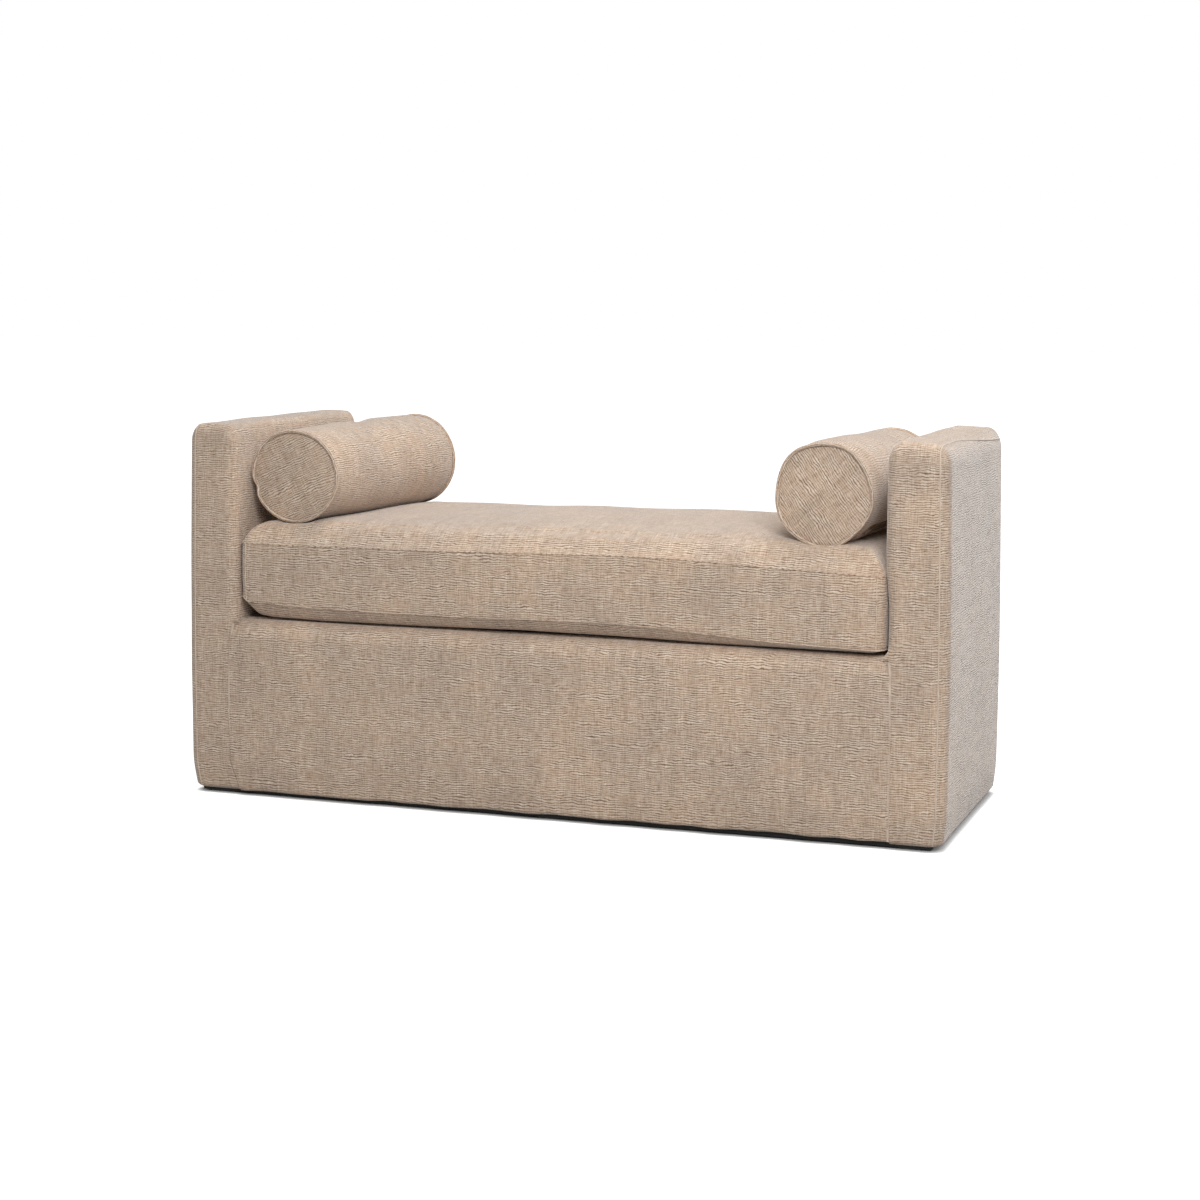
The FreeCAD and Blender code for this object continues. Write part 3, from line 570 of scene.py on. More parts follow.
def arm_outer_seam(side):
    """The seam between the arm's front strip and its outer side: up the front, over, and down the rear."""
    outside = ARM_FORM[side]["outer"]
    inset = outside - 11.5
    drop = 11.0
    zs = np.linspace(13, HEIGHT, 150)
    ys = np.linspace(-HALF_DEPTH, HALF_DEPTH, 120)
    slide = smooth(-150, 240, ys)
    over_x = inset + (outside - inset) * np.clip(slide * 2, 0, 1)
    over = np.stack([over_x, ys, HEIGHT - drop * np.clip(slide * 2 - 1, 0, 1)], -1)
    front = np.stack([np.full_like(zs, inset), np.full_like(zs, -HALF_DEPTH), zs], -1)
    rear = np.stack([np.full_like(zs, outside), np.full_like(zs, HALF_DEPTH), zs], -1)[::-1]
    rear = rear[rear[:, 2] < HEIGHT - drop]
    path = arm_point(np.concatenate([front[:-1], over[:-1], rear]), side)
    for _ in range(4):
        path[1:-1] = 0.25 * path[:-2] + 0.5 * path[1:-1] + 0.25 * path[2:]
    path[:, 0] *= OUTWARD[side]
    ridge(side + "_arm_outer_seam", path, 1.3, "divan", SEAM_CLOTH_PAINTED_HIGHLIGHT)


def arm_panel_seam(side, end):
    """The raised seam where the panel meets the arm."""
    facing = -1.0 if end == "front" else 1.0
    zs = np.linspace(13.5, 322.0, 110)
    y = facing * (HALF_DEPTH - 0.5 - foot_tuck(zs))
    path = np.stack([OUTWARD[side] * (seam_x(side, zs) + 0.4), y, zs], -1)
    ridge(side + "_" + end + "_panel_seam", path, 2.4, "divan", SEAM_CLOTH_PAINTED_HIGHLIGHT)


for arm_side in ("left", "right"):
    build_arm(arm_side)
    arm_outer_seam(arm_side)
    for panel_end in ("front", "rear"):
        arm_panel_seam(arm_side, panel_end)


# Front and rear panels: cloth over padding, board and edge roll, turned under at the hem

ROLL_Y, ROLL_Z, ROLL_R = -236.5, 296.2, 30.0
HEM_Y, HEM_Z, HEM_R = -261.0, 19.6, 5.5
# Behind the roll the cloth dips, and rises again to the deck
VALLEY_Y = (-229.0, -226.5, -224.0, -221.5, -218.0, -215.0)
VALLEY_Z = (324.6, 324.0, 325.2, 327.4, DECK_TOP, 326.9)


def arc(y, z, radius, start, end, count):
    angles = [math.radians(angle) for angle in np.linspace(start, end, count)]
    return [(y + radius * math.cos(angle), z + radius * math.sin(angle)) for angle in angles]


def panel_profile():
    """Points and lengths of the panel's section in y and z, from the turned hem up and over onto the deck."""
    face = [(-HALF_DEPTH, z) for z in np.linspace(30, 294, 40)]
    hem = [(-253.0, 14.6)] + arc(HEM_Y, HEM_Z, HEM_R, -90, -180, 7)
    pts = np.array(hem + face + arc(ROLL_Y, ROLL_Z, ROLL_R, 180, 80, 15) + list(zip(VALLEY_Y, VALLEY_Z)))
    steps = np.linalg.norm(np.diff(pts, axis=0), axis=1)
    return pts, np.concatenate([[0], np.cumsum(steps)])


def build_panel(which):
    sign = 1.0 if which == "front" else -1.0
    seed = 21 if which == "front" else 33
    section, length = panel_profile()
    edge = np.linspace(0.98, 1.0, 7)[1:]
    middle = np.linspace(-0.98, 0.98, 172)
    shares = np.concatenate([np.linspace(-1.0, -0.98, 7)[:-1], middle, edge])
    t, row = np.meshgrid(shares, np.arange(len(section)), indexing="ij")
    y, z = section[row, 0], section[row, 1]
    on_top = smooth(-262.0, -246.0, y) * smooth(300, 322, z)
    seam = np.where(t < 0, seam_x("left", z), seam_x("right", z))
    lap = 1.8
    half = seam + lap + (ARM_INNER - 1.0 - seam - lap) * smooth(312, 324.0, z)
    x = t * half
    points = np.stack([x, y, z], -1)
    face = smooth(24, 60, z) * (1 - smooth(285, 325, z))
    hem = 1 - smooth(16, 44, z)
    scallop = 0.5 * np.sin(x / 31.0 + 1.7 * np.sin(x / 173.0)) + 0.5 * waves(points[..., :1], 90.0, seed + 4)
    y = y + face * (0.8 * waves(points, 240.0, seed) - 0.5) + foot_tuck(z)
    z = z + hem * (1.2 * scallop - 2.7 + x / 260.0) + on_top * 0.3 * waves(points, 130.0, seed + 2)
    y = y + hem * 0.8 * scallop
    y = y + 0.8 * smooth(-4.0, lap, np.abs(x) - seam) * (1 - on_top)
    shell = Shell()
    uv = np.stack([x * sign + seed * 37.0, length[row] + 3.0], -1)
    shell.add(np.stack([x, y * sign, z], -1), uv, sign > 0)
    name = which + "_panel_upholstery"
    panel = piece(name, shell.mesh(name), FABRIC, "divan", fine=True)
    thick = panel.modifiers.new("cloth_thickness", "SOLIDIFY")
    thick.thickness = 0.002
    thick.offset = -1.0
    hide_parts(which + "_panel_cover", which + "_padding", which + "_edge_roll")


for panel_side in ("front", "rear"):
    build_panel(panel_side)


# Deck and dust cloths, stretched over the seat and under the base

def stretched_cloth(name, half_x, half_y, level, sag, slot, replaced):
    x, y = np.meshgrid(np.linspace(-half_x, half_x, 131), np.linspace(-half_y, half_y, 47), indexing="ij")
    flat = np.stack([x, y], -1)
    inside = np.clip((1 - (x / half_x) ** 4) * (1 - (y / half_y) ** 4), 0, 1)
    z = level + inside * (sag + 0.35 * waves(flat, 140.0, 51) * abs(sag))
    shell = Shell()
    shell.add(np.stack([x, y, z], -1), flat)
    cloth = piece(name, shell.mesh(name), MATERIALS[slot], "divan")
    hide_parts(replaced)


stretched_cloth("deck_cloth", 607.0, 216.5, 327.6, -0.5, "deck_lining", "deck_cover")
stretched_cloth("dust_cloth", 669.5, 231.0, 15.4, -1.2, "dust_cloth", "dust_cover")


# Seat cushion

CUSHION_X, CUSHION_Y, CUSHION_R = 603.5, 262.5, 21.0
CROWN_Z = 527.0
CUSHION_FOOT_Z = 329.4
BAND_BULGE_X, BAND_BULGE_Y = 0.0012, 0.006
BAND_ROWS = 20
LIP_WIDTH = 27.0
GRID_STEP = 6.5
CORNERS = (("front_left", -1, -1), ("front_right", 1, -1), ("rear_left", -1, 1), ("rear_right", 1, 1))
SEAT_ZIP_Z, SEAT_ZIP_END = 413.0, 506.0

# The front's seams and lowest line, as heights at places along X, and their heights at the rear
TOP_SEAM_X = [-603, -448, -244, -52, 41, 133, 224, 314, 402, 489, 603]
TOP_SEAM_Z = [471.5, 471.0, 472.5, 476.0, 478.0, 479.5, 478.5, 475.0, 471.0, 468.0, 463.0]
TOP_SEAM_REAR = 476.0
LOW_SEAM_X = [-603, -595, -585, -476, -343, -148, -52, 60, 134, 225, 315, 404, 492, 603]
LOW_SEAM_Z = [376, 368.5, 363.5, 359, 357, 357, 358.5, 360.5, 360, 356, 349.5, 344, 341, 338.5]
LOW_SEAM_REAR = 360.0
LIP_X = [-603, -595, -578, -551, -449, -250, -57, 130, 312, 603]
LIP_Z = [366.0, 350.0, 337.0, 333.0, 331.0, 332.0, 335.0, 334.0, 330.8, 330.4]
LIP_REAR = 336.0


def rounded_plan(p, half_x, half_y, radius):
    """Moves points of a rectangle so that its corners are rounded."""
    x, y = p[..., 0], p[..., 1]
    ox = np.clip((np.abs(x) - (half_x - radius)) / radius, 0, None)
    oy = np.clip((np.abs(y) - (half_y - radius)) / radius, 0, None)
    fx = ox * np.sqrt(np.maximum(1 - oy**2 / 2, 0))
    fy = oy * np.sqrt(np.maximum(1 - ox**2 / 2, 0))
    nx = np.where(ox > 0, np.sign(x) * (half_x - radius + radius * fx), x)
    ny = np.where(oy > 0, np.sign(y) * (half_y - radius + radius * fy), y)
    return np.stack([nx, ny], -1)


def crown_line(a, half, level, drop, seam_z):
    """The cushion's top along one axis: an arc that drops a little out to level, then a steep side."""
    a = np.abs(a)
    radius = (level**2 + drop**2) / (2 * drop)
    flat = CROWN_Z - radius + np.sqrt(np.maximum(radius**2 - a**2, 0))
    slope = -level / math.sqrt(radius**2 - level**2)
    t = np.clip((a - level) / (half - level), 0, 1)
    width, fall = half - level, seam_z - (CROWN_Z - drop)
    end_slope = 3.6 * fall / width
    steep = (CROWN_Z - drop) + (slope * width) * (t - 2 * t**2 + t**3) + fall * (3 * t**2 - 2 * t**3)
    steep += end_slope * width * (t**3 - t**2)
    return np.where(a < level, flat, steep)


def under_bolsters(x, y, gap):
    """The height just under both bolsters, very high where there is none above."""
    lowest = np.full(x.shape, 900.0)
    for centre, turn in BOLSTERS.values():
        angle = math.radians(turn)
        dx, dy = x - centre, y
        across = dx * math.cos(angle) + dy * math.sin(angle)
        along = -dx * math.sin(angle) + dy * math.cos(angle)
        reach = BOLSTER_R + gap
        inside = np.clip(reach**2 - across**2, 0, None)
        height = BOLSTER_Z - np.sqrt(inside)
        height = np.where(np.abs(across) < reach, height, 900.0)
        past = np.clip(np.abs(along) - (BOLSTER_END + 3), 0, None)
        lowest = np.minimum(lowest, height + past * 2.2)
    return lowest


def by_front(x, y, rear, places, heights):
    """A height along the cushion's front, easing to one value at the rear."""
    share = smooth(60, -240, y)
    return rear + share * (np.interp(x, places, heights) - rear)


def top_seam(x, y):
    return by_front(x, y, TOP_SEAM_REAR, TOP_SEAM_X, TOP_SEAM_Z)


def low_seam(x, y):
    return by_front(x, y, LOW_SEAM_REAR, LOW_SEAM_X, LOW_SEAM_Z)


def lower_lip(x, y):
    """The lowest line that shows below the cushion's bottom seam."""
    return by_front(x, y, LIP_REAR, LIP_X, LIP_Z)


def cushion_grid():
    """Even places over the cushion's plan, as a rectangle."""
    nx, ny = int(2 * CUSHION_X / GRID_STEP), int(2 * CUSHION_Y / GRID_STEP)
    xs, ys = np.linspace(-CUSHION_X, CUSHION_X, nx + 1), np.linspace(-CUSHION_Y, CUSHION_Y, ny + 1)
    return np.stack(np.meshgrid(xs, ys, indexing="ij"), -1)


def cushion_ring(flat):
    """The cushion's outline in plan, once round, the last point on the first."""
    ring = np.concatenate([flat[:, 0][:-1], flat[-1, :][:-1], flat[::-1, -1][:-1], flat[0, ::-1]])
    return rounded_plan(ring, CUSHION_X, CUSHION_Y, CUSHION_R)


def cushion_top(flat, plan, edge):
    """The crowned top's points and rib coordinates, dished where the bolsters lie."""
    x, y = flat[..., 0], flat[..., 1]
    px, py = plan[..., 0], plan[..., 1]
    seam = top_seam(px, py)
    along = crown_line(x, CUSHION_X, 562.0, 22.0, seam)
    across = crown_line(y, CUSHION_Y, 212.0, 14.0, seam)
    z = soft_min(along, across, 8.0)
    z = seam + (z - seam) * smooth(-1, 22, edge) ** 0.25 * (edge > 1e-6)
    z += smooth(0, 60, edge) * (1.2 * waves(flat, 210.0, 41) - 4.5 * bump(-250, 150, x))
    z = np.where(edge > 1e-6, soft_min(z, under_bolsters(px, py, 1.2), 5.0), z)
    steps = np.hypot(np.diff(py, axis=1), np.diff(z, axis=1))
    over = np.concatenate([np.zeros((len(x), 1)), np.cumsum(steps, axis=1)], axis=1)
    return np.stack([px, py, z], -1), np.stack([x, over + 3000.0], -1)


def cushion_band(flat):
    """The band's points and rib coordinates, bulging between its seams."""
    ring = cushion_ring(flat)
    lengths = np.concatenate([[0], np.cumsum(np.linalg.norm(np.diff(ring, axis=0), axis=1))])
    s, row = np.meshgrid(np.arange(len(ring)), np.arange(BAND_ROWS + 1), indexing="ij")
    x, y = ring[s, 0], ring[s, 1]
    level = np.linspace(0, 1, BAND_ROWS + 1)[row]
    low_z = low_seam(x, y)
    z = low_z + (top_seam(x, y) - low_z) * level
    bulge = np.sin(math.pi * level)
    points = np.stack([x * (1 + BAND_BULGE_X * bulge), y * (1 + BAND_BULGE_Y * bulge), z], -1)
    return points, np.stack([lengths[s], z], -1)


def cushion_base(flat, plan, edge):
    """The base's points and rib coordinates: a lip that curls in below the seam, then flat on the deck."""
    px, py = plan[..., 0], plan[..., 1]
    curl = np.clip(edge / LIP_WIDTH, 0, 1)
    settle = smooth(LIP_WIDTH, 76.0, edge)
    low_edge, lip = low_seam(px, py), lower_lip(px, py)
    z = lip + (low_edge - lip) * (1 - curl) ** 1.15
    z = np.where(edge > LIP_WIDTH, lip + (CUSHION_FOOT_Z - lip) * settle, z)
    return np.stack([px, py, z], -1), np.stack([flat[..., 0], flat[..., 1] + 5000.0], -1)


def cushion_mesh():
    flat = cushion_grid()
    plan = rounded_plan(flat, CUSHION_X, CUSHION_Y, CUSHION_R)
    edge = np.minimum(CUSHION_X - np.abs(flat[..., 0]), CUSHION_Y - np.abs(flat[..., 1]))
    shell = Shell()
    shell.add(*cushion_top(flat, plan, edge))
    shell.add(*cushion_band(flat))
    shell.add(*cushion_base(flat, plan, edge), True)
    return shell.mesh("seat_cushion_upholstery")


def seam_rings(points):
    """Which points of the cushion lie on its top or its bottom seam."""
    x, y, z = points.T / MM
    near = 0.6
    past_x = np.maximum(np.abs(x) - (CUSHION_X - CUSHION_R), 0)
    past_y = np.maximum(np.abs(y) - (CUSHION_Y - CUSHION_R), 0)
    at_corner = past_x**2 + past_y**2 > (CUSHION_R - near) ** 2
    out = (np.abs(x) > CUSHION_X - near) | (np.abs(y) > CUSHION_Y - near) | at_corner
    top = np.abs(z - top_seam(x, y)) < near
    low = np.abs(z - low_seam(x, y)) < near
    return out & (top | low)


def cushion_seams():
    """Sewn ridges along the cushion's top and bottom edges and up its four corners."""
    ring = cushion_ring(cushion_grid())[:-1]
    x, y = ring[:, 0], ring[:, 1]
    top = np.stack([x, y, top_seam(x, y)], -1)
    low = np.stack([x, y, low_seam(x, y)], -1)
    ridge("seat_cushion_top_seam", top, 0.9, "seat_cushion", FABRIC, True, True)
    ridge("seat_cushion_low_seam", low, 1.2, "seat_cushion", FABRIC, True)
    reach = CUSHION_R * 0.34
    level = np.linspace(0, 1, 26)
    bulge = np.sin(math.pi * level)
    for name, sx, sy in CORNERS:
        x = sx * (CUSHION_X - CUSHION_R + reach)
        y = sy * (CUSHION_Y - CUSHION_R + math.sqrt(CUSHION_R**2 - reach**2))
        low_z, high_z = float(low_seam(x, y)), float(top_seam(x, y))
        across, deep = x * (1 + BAND_BULGE_X * bulge), y * (1 + BAND_BULGE_Y * bulge) + 0.3 * sy
        path = np.stack([across, deep, low_z + (high_z - low_z) * level], -1)
        ridge("seat_cushion_corner_seam_" + name, path, 1.0, "seat_cushion", FABRIC)


def inflate(objects, frames=18):
    """Runs one cloth simulation on all the soft pieces together, and caps how far each point moves."""
    starts = {}
    for obj, settings in objects:
        start = coords(obj.data)
        starts[obj.name] = start
        group = obj.vertex_groups.new(name="held")
        held = settings["held"]
        for weight in np.unique(np.round(held, 2)):
            if weight > 0:
                chosen = np.nonzero(np.abs(held - weight) < 0.006)[0]
                group.add(chosen.tolist(), float(weight), "REPLACE")
        made = obj.modifiers.new("cloth", "CLOTH")
        cloth = made.settings
        cloth.quality = 5
        cloth.mass = 0.3
        cloth.tension_stiffness = settings["stiff"]
        cloth.compression_stiffness = settings["stiff"]
        cloth.shear_stiffness = 8.0
        cloth.bending_stiffness = 2.0
        cloth.use_pressure = True
        cloth.uniform_pressure_force = settings["pressure"]
        cloth.vertex_group_mass = "held"
        cloth.pin_stiffness = 1.0
        cloth.effector_weights.gravity = 0.0
        made.collision_settings.use_collision = False
        made.point_cache.frame_start = 1
        made.point_cache.frame_end = frames
    for number in range(1, frames + 1):
        SCENE.frame_set(number)
    graph = bpy.context.evaluated_depsgraph_get()
    moved = {}
    for obj, _ in objects:
        shaped = obj.evaluated_get(graph).to_mesh()
        moved[obj.name] = coords(shaped)
        obj.evaluated_get(graph).to_mesh_clear()
    for obj, settings in objects:
        obj.modifiers.remove(obj.modifiers["cloth"])
        obj.vertex_groups.clear()
        start = starts[obj.name]
        shift = moved[obj.name] - start
        length = np.linalg.norm(shift, axis=1, keepdims=True)
        cap = settings["cap"] * MM
        shift *= np.minimum(1.0, cap / np.maximum(length, 1e-9))
        set_coords(obj.data, start + shift)
        print("cloth", obj.name, "largest move mm", round(float(length.max()) / MM, 1))
    SCENE.frame_set(1)


def keep_below(points, gap):
    """Presses the cushion's points down under a bolster, in beside an arm, and in along the zip."""
    x, y, z = points.T / MM
    z = np.where(z > 420, np.minimum(z, under_bolsters(x, y, gap)), np.maximum(z, DECK_TOP + 0.8))
    x = np.clip(x, 2.0 - ARM_INNER, ARM_INNER - 2.0)
    past_zip = smooth(SEAT_ZIP_END, SEAT_ZIP_END + 14, np.abs(x))
    channel = (1 - smooth(10, 19, np.abs(z - SEAT_ZIP_Z))) * (1 - past_zip)
    y = np.where(y > 240, np.minimum(y, 265.4 - 3.6 * channel), np.maximum(y, -267.5))
    return np.stack([x, y, z], -1) * MM


def zip_groove(side, points):
    """Sinks the bolster's surface along its zip, low on the side by the arm."""
    x, y, z = points.T / MM
    radius, angle = np.hypot(x, z), np.degrees(np.arctan2(z, x))
    off = np.abs((angle - ZIP_ANGLE[side] + 180) % 360 - 180) * math.radians(1) * ZIP_R
    channel = (1 - smooth(8, 15, off)) * (1 - smooth(170, 182, np.abs(y)))
    limit = BOLSTER_R + 4 - 6.4 * channel
    factor = np.where(np.abs(y) < BOLSTER_END - 8, np.minimum(radius, limit) / np.maximum(radius, 1e-6), 1.0)
    return np.stack([x * factor, y, z * factor], -1) * MM


# Bolsters

# The near end's width and height as shares, how far the far end rises, and how far the near end lies over
BOLSTER_OVAL = {"left": (1.053, 0.962), "right": (0.975, 1.020)}
BOLSTER_RISE = {"left": 4.5, "right": 1.5}
BOLSTER_ASIDE = {"left": 2.6, "right": 0.0}
CAP_RIB_TURN = {"left": 24.0, "right": -52.0}
CAP_INSET = 3.4
AROUND, TUBE_ROWS = 96, 74
ZIP_ANGLE, ZIP_R = {"left": -135.0, "right": -45.0}, 88.0


def bolster_shape(side, along, angle, radius):
    """The tube's radius where the fill has settled, with soft lumps and hollows."""
    seed = 61 if side == "left" else 73
    field = np.stack([np.cos(angle) * 89, along, np.sin(angle) * 89], -1)
    grown = radius + 1.1 * waves(field, 130.0, seed)
    upper = smooth(-0.1, 0.9, np.sin(angle))
    if side == "left":
        grown -= 3.6 * upper * bump(0.0, 30.0, along - 10.0 + 62.0 * np.cos(angle))
        grown += 1.6 * upper * bump(90.0, 60.0, along)
    else:
        grown += 5.5 * upper * bump(-110.0, 80.0, along)
    return grown


def bolster_place(side, x, along, z):
    """The near end is a little oval, and the far end lies a little higher on the crown."""
    near = 1 - smooth(-BOLSTER_END, 60, along)
    wide, high = BOLSTER_OVAL[side]
    rise = BOLSTER_RISE[side] * (along + BOLSTER_END) / (2 * BOLSTER_END)
    aside = BOLSTER_ASIDE[side] * near
    return np.stack([x * (1 + (wide - 1) * near) + aside, along, z * (1 + (high - 1) * near) + rise], -1)


def cap_outline(side, angle):
    """The cap's edge: a circle pulled slightly out of true by its seam."""
    if side == "left":
        dent = 0.060 * bump(math.radians(196), 0.15, angle % (2 * math.pi))
        return 1.0 - dent + 0.008 * np.sin(3 * angle + 0.4)
    return 1.0 + 0.016 * np.cos(5 * angle + 0.9) + 0.008 * np.cos(3 * angle - 0.6)


def bolster_tube(side):
    """The points and rib coordinates of the bolster's round."""
    theta = np.linspace(0, 2 * math.pi, AROUND + 1)
    along = np.linspace(-BOLSTER_END, BOLSTER_END, TUBE_ROWS + 1)
    a, s = np.meshgrid(theta, along, indexing="ij")
    near_end = smooth(0, 60, BOLSTER_END - np.abs(s))
    outline = 1 + (cap_outline(side, a) - 1) * (1 - smooth(0, 110, s + BOLSTER_END))
    pulled = BOLSTER_R * outline - CAP_INSET * (1 - near_end) ** 2
    radius = pulled + (bolster_shape(side, s, a, pulled) - pulled) * near_end
    tube = bolster_place(side, radius * np.cos(a), s, radius * np.sin(a))
    return tube, np.stack([s + 77.0, a * BOLSTER_R + 900.0], -1)


def cap_disc():
    """A grid over a round disc, as angles and shares of the radius, whose rim meets the tube's points."""
    spots = np.linspace(-1, 1, AROUND // 4 + 1)
    u, v = np.meshgrid(spots, spots, indexing="ij")
    disc_u, disc_v = u * np.sqrt(1 - v**2 / 2), v * np.sqrt(1 - u**2 / 2)
    angle = np.arctan2(disc_v, disc_u)
    rim = np.sqrt(disc_u**2 + disc_v**2)
    step = 2 * math.pi / AROUND
    return np.where(rim > 0.999, np.round((angle % (2 * math.pi)) / step) * step, angle), rim


def bolster_mesh(side):
    shell = Shell()
    shell.add(*bolster_tube(side), True)
    angle, rim = cap_disc()
    turn = math.radians(CAP_RIB_TURN[side])
    for end, sign in ((-BOLSTER_END, -1.0), (BOLSTER_END, 1.0)):
        outline = cap_outline(side, angle) if end < 0 else np.ones_like(angle)
        reach = rim * (BOLSTER_R * outline - CAP_INSET)
        x, z = reach * np.cos(angle), reach * np.sin(angle)
        dome = 5.0 + 0.6 * waves(np.stack([x, z], -1), 60.0, 90)
        place = bolster_place(side, x, np.full_like(x, end), z)
        place[..., 1] = end + sign * dome * (1 - rim**2)
        along, up = x * math.cos(turn) + z * math.sin(turn), z * math.cos(turn) - x * math.sin(turn)
        shell.add(place, np.stack([along + 400.0, up + 1500.0 * sign], -1), end > 0)
    return shell.mesh(side + "_bolster_upholstery")


def bolster_matrix(side):
    centre, turn = BOLSTERS[side]
    place = Matrix.Translation(Vector((centre, 0, BOLSTER_Z)) * MM)
    return place @ Matrix.Rotation(math.radians(turn), 4, "Z")


def welt_mesh(side, which):
    """The piping round one end of a bolster."""
    theta = np.linspace(0, 2 * math.pi, 161)[:-1]
    sign = -1.0 if which == "near" else 1.0
    outline = cap_outline(side, theta) if which == "near" else np.ones_like(theta)
    reach = BOLSTER_R * outline - 3.0
    along = np.full_like(theta, sign * BOLSTER_END)
    path = bolster_place(side, reach * np.cos(theta), along, reach * np.sin(theta))
    path[:, 1] += sign * 1.4
    return tube_mesh(side + "_bolster_welt_" + which, path, 3.2, True, 12, 0.05)


def lay_on(obj, body, matrix=None):
    """Moves an upholstered object's mesh to its place, and lets it ride on a body."""
    if matrix is not None:
        obj.data.transform(matrix)
    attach(obj, body)


def fill_soft_pieces(cushion, bolsters):
    """Puffs up the cushion and the bolsters, each held at its seams."""
    x, y, z = coords(cushion.data).T / MM
    held = np.where(seam_rings(coords(cushion.data)), 1.0, 0.0)
    held = np.where((z < 331) & (z > 328), 0.6, held)
    held = np.where((z > 331) & (z < low_seam(x, y) - 0.6), 0.9, held)
    jobs = [(cushion, {"held": held, "pressure": 1.4, "cap": 5.0, "stiff": 30.0})]
    for bolster in bolsters:
        x, y, z = coords(bolster.data).T / MM
        rim = (np.abs(np.abs(y) - BOLSTER_END) < 0.4) & (np.hypot(x, z) > 76)
        held = np.where(rim, 1.0, 0.0)
        jobs.append((bolster, {"held": held, "pressure": 1.6, "cap": 4.0, "stiff": 25.0}))
    inflate(jobs)


def finish_bolster(side, roll):
    """Sinks the zip's groove, lays the bolster on the cushion and adds its piping."""
    body = side + "_bolster"
    matrix = bolster_matrix(side)
    set_coords(roll.data, zip_groove(side, coords(roll.data)))
    refine(roll)
    lay_on(roll, body, matrix)
    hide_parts(body + "_cover", body + "_pad")
    for which in ("near", "far"):
        lay_on(loose(body + "_welt_" + which, welt_mesh(side, which), FABRIC), body, matrix)


seat = loose("seat_cushion_upholstery", cushion_mesh(), FABRIC)
rolls = {side: loose(side + "_bolster_upholstery", bolster_mesh(side), FABRIC) for side in BOLSTERS}
fill_soft_pieces(seat, rolls.values())
set_coords(seat.data, keep_below(coords(seat.data), 0.8))
cushion_seams()
refine(seat)
lay_on(seat, "seat_cushion")
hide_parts("seat_cushion_cover", "seat_cushion_wrap")
for roll_side, roll_object in rolls.items():
    finish_bolster(roll_side, roll_object)


# Floor, light and camera

SKY_LOW, SKY_HIGH, SKY_TOP = 0.11, 0.60, 0.85
FLOOR_GREY, FLOOR_GLOW, FLOOR_REACH = (0.50, 0.50, 0.50, 1.0), 0.95, 30.0
WHITE = (1.0, 1.0, 1.0, 1.0)

# The photograph's camera, as fitted to the divan's edges: angles in degrees, places in metres
CAMERA_AZIMUTH, CAMERA_ELEVATION, CAMERA_ROLL = 19.198, 7.716, 0.317
CAMERA_TARGET, CAMERA_DISTANCE = (0.00875, 0.0, 0.3631), 4.350
PHOTO_WIDTH_PX, FOCAL_PX = 1200.0, 2335.16
SENSOR_MM = 36.0


def floor_material():
    """Plain pale floor, white to the camera, that keeps the object's shadow."""
    finish = Finish("pale_floor")
    corner = finish.node("ShaderNodeAmbientOcclusion", {"Distance": 0.014}, samples=8)
    lit = finish.math("POWER", corner.outputs["AO"], 3.0)
    path = finish.node("ShaderNodeLightPath")
    seen = finish.math("MULTIPLY", path.outputs["Is Camera Ray"], lit)
    seen = finish.math("MULTIPLY", seen, FLOOR_GLOW)
    finish.set(Base_Color=FLOOR_GREY, Roughness=0.9, Specular_IOR_Level=0.1)
    finish.set(Emission_Color=WHITE, Emission_Strength=seen)
    return finish.material


def add_floor():
    mesh = bpy.data.meshes.new("floor")
    corners = [(x * FLOOR_REACH, y * FLOOR_REACH, 0) for x, y in ((-1, -1), (1, -1), (1, 1), (-1, 1))]
    mesh.from_pydata(corners, [], [(0, 1, 2, 3)])
    loose("floor", mesh, floor_material())


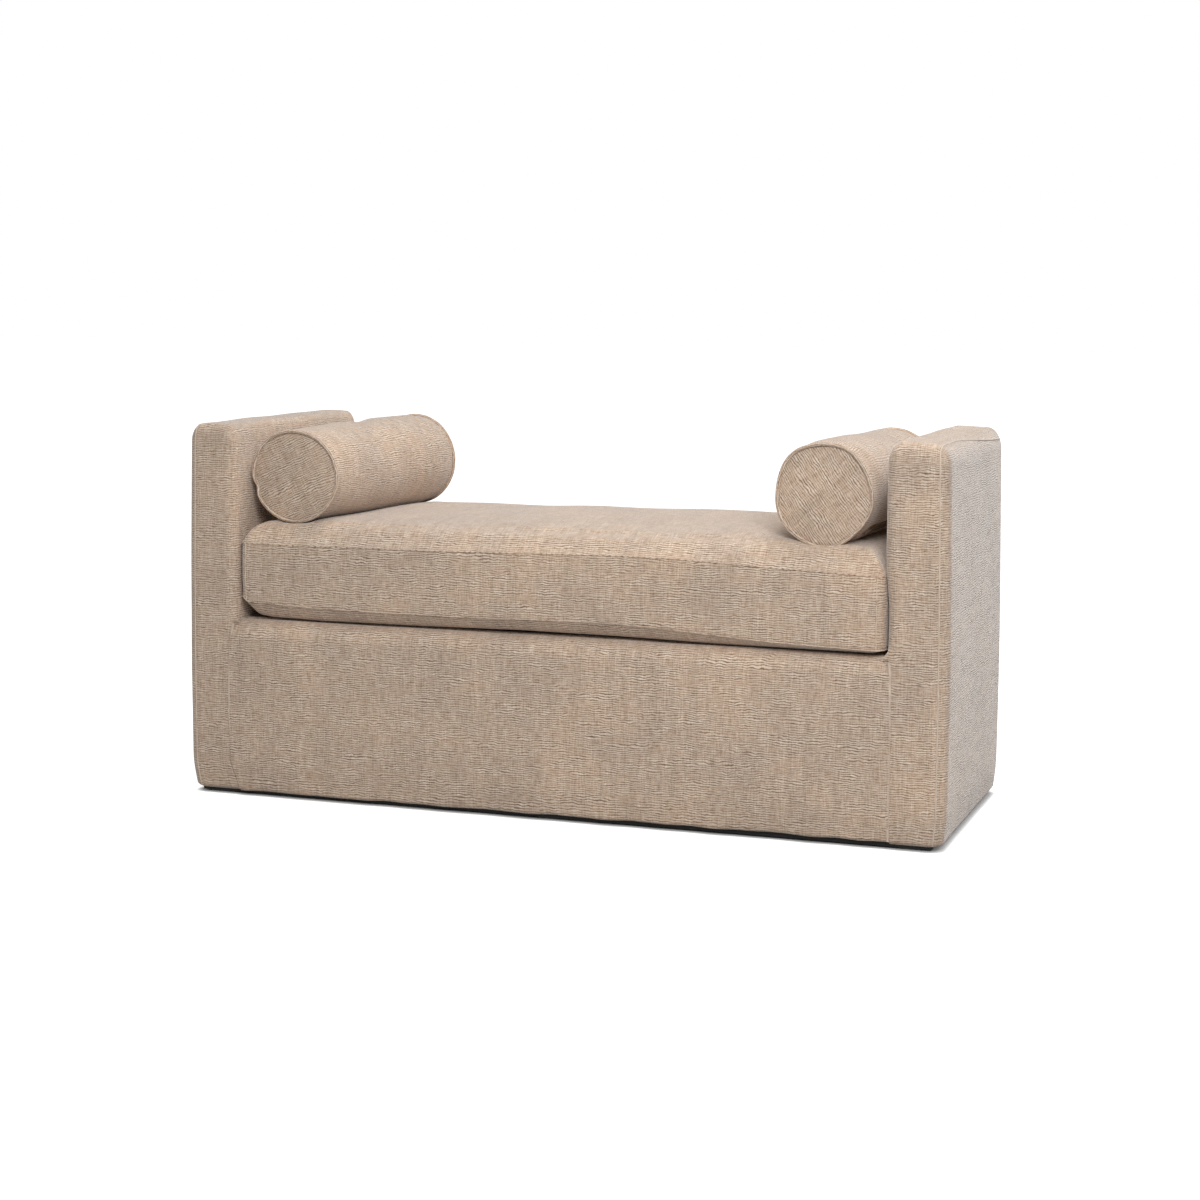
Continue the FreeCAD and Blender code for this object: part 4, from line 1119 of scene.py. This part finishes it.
def add_world():
    """A soft sky, brighter overhead, that the camera and clear or shiny surfaces see as plain white."""
    world = bpy.data.worlds.new("studio")
    SCENE.world = world
    world.use_nodes = True
    sky = Graph(world.node_tree)
    path = sky.node("ShaderNodeLightPath")
    seen = sky.math("MAXIMUM", path.outputs["Is Camera Ray"], path.outputs["Is Glossy Ray"])
    seen = sky.math("MAXIMUM", seen, path.outputs["Is Transmission Ray"])
    place = sky.node("ShaderNodeTexCoord").outputs["Generated"]
    up = sky.node("ShaderNodeSeparateXYZ", {"Vector": place}).outputs["Z"]
    limits = {"Value": up, "From Min": 0.0, "From Max": SKY_TOP, "To Min": SKY_LOW, "To Max": SKY_HIGH}
    rise = sky.node("ShaderNodeMapRange", limits, interpolation_type="SMOOTHSTEP")
    back = world.node_tree.nodes["Background"]
    sky.feed(back.inputs["Color"], WHITE)
    sky.feed(back.inputs["Strength"], sky.math("MAXIMUM", seen, rise.outputs["Result"]))


def add_lamp(name, place, target, size, power):
    data = bpy.data.lights.new(name, "AREA")
    data.shape = "RECTANGLE"
    data.size, data.size_y = size
    data.energy = power
    lamp = bpy.data.objects.new(name, data)
    SCENE.collection.objects.link(lamp)
    lamp.location = place
    lamp.rotation_mode = "QUATERNION"
    lamp.rotation_quaternion = (Vector(target) - Vector(place)).to_track_quat("-Z", "Y")


def add_camera():
    azimuth, elevation, roll = (math.radians(v) for v in (CAMERA_AZIMUTH, CAMERA_ELEVATION, CAMERA_ROLL))
    level = math.cos(elevation)
    back = Vector((math.sin(azimuth) * level, -math.cos(azimuth) * level, math.sin(elevation)))
    right = Vector((math.cos(azimuth), math.sin(azimuth), 0.0))
    up = back.cross(right)
    right, up = right * math.cos(roll) + up * math.sin(roll), up * math.cos(roll) - right * math.sin(roll)
    data = bpy.data.cameras.new("camera")
    data.sensor_width = SENSOR_MM
    data.lens = SENSOR_MM * FOCAL_PX / PHOTO_WIDTH_PX
    camera = bpy.data.objects.new("camera", data)
    SCENE.collection.objects.link(camera)
    camera.location = Vector(CAMERA_TARGET) + back * CAMERA_DISTANCE
    camera.rotation_mode = "QUATERNION"
    camera.rotation_quaternion = Matrix((right, up, back)).transposed().to_quaternion()
    SCENE.camera = camera


SCENE.view_settings.view_transform = "Standard"
add_floor()
add_world()
add_lamp("overhead", (0.6, 0.3, 2.6), (0.1, 0.0, 0.4), (1.5, 1.0), 27.0)
add_lamp("front_right", (1.5, -3.0, 2.5), (-0.1, 0.0, 0.4), (1.5, 1.5), 83.0)
add_camera()
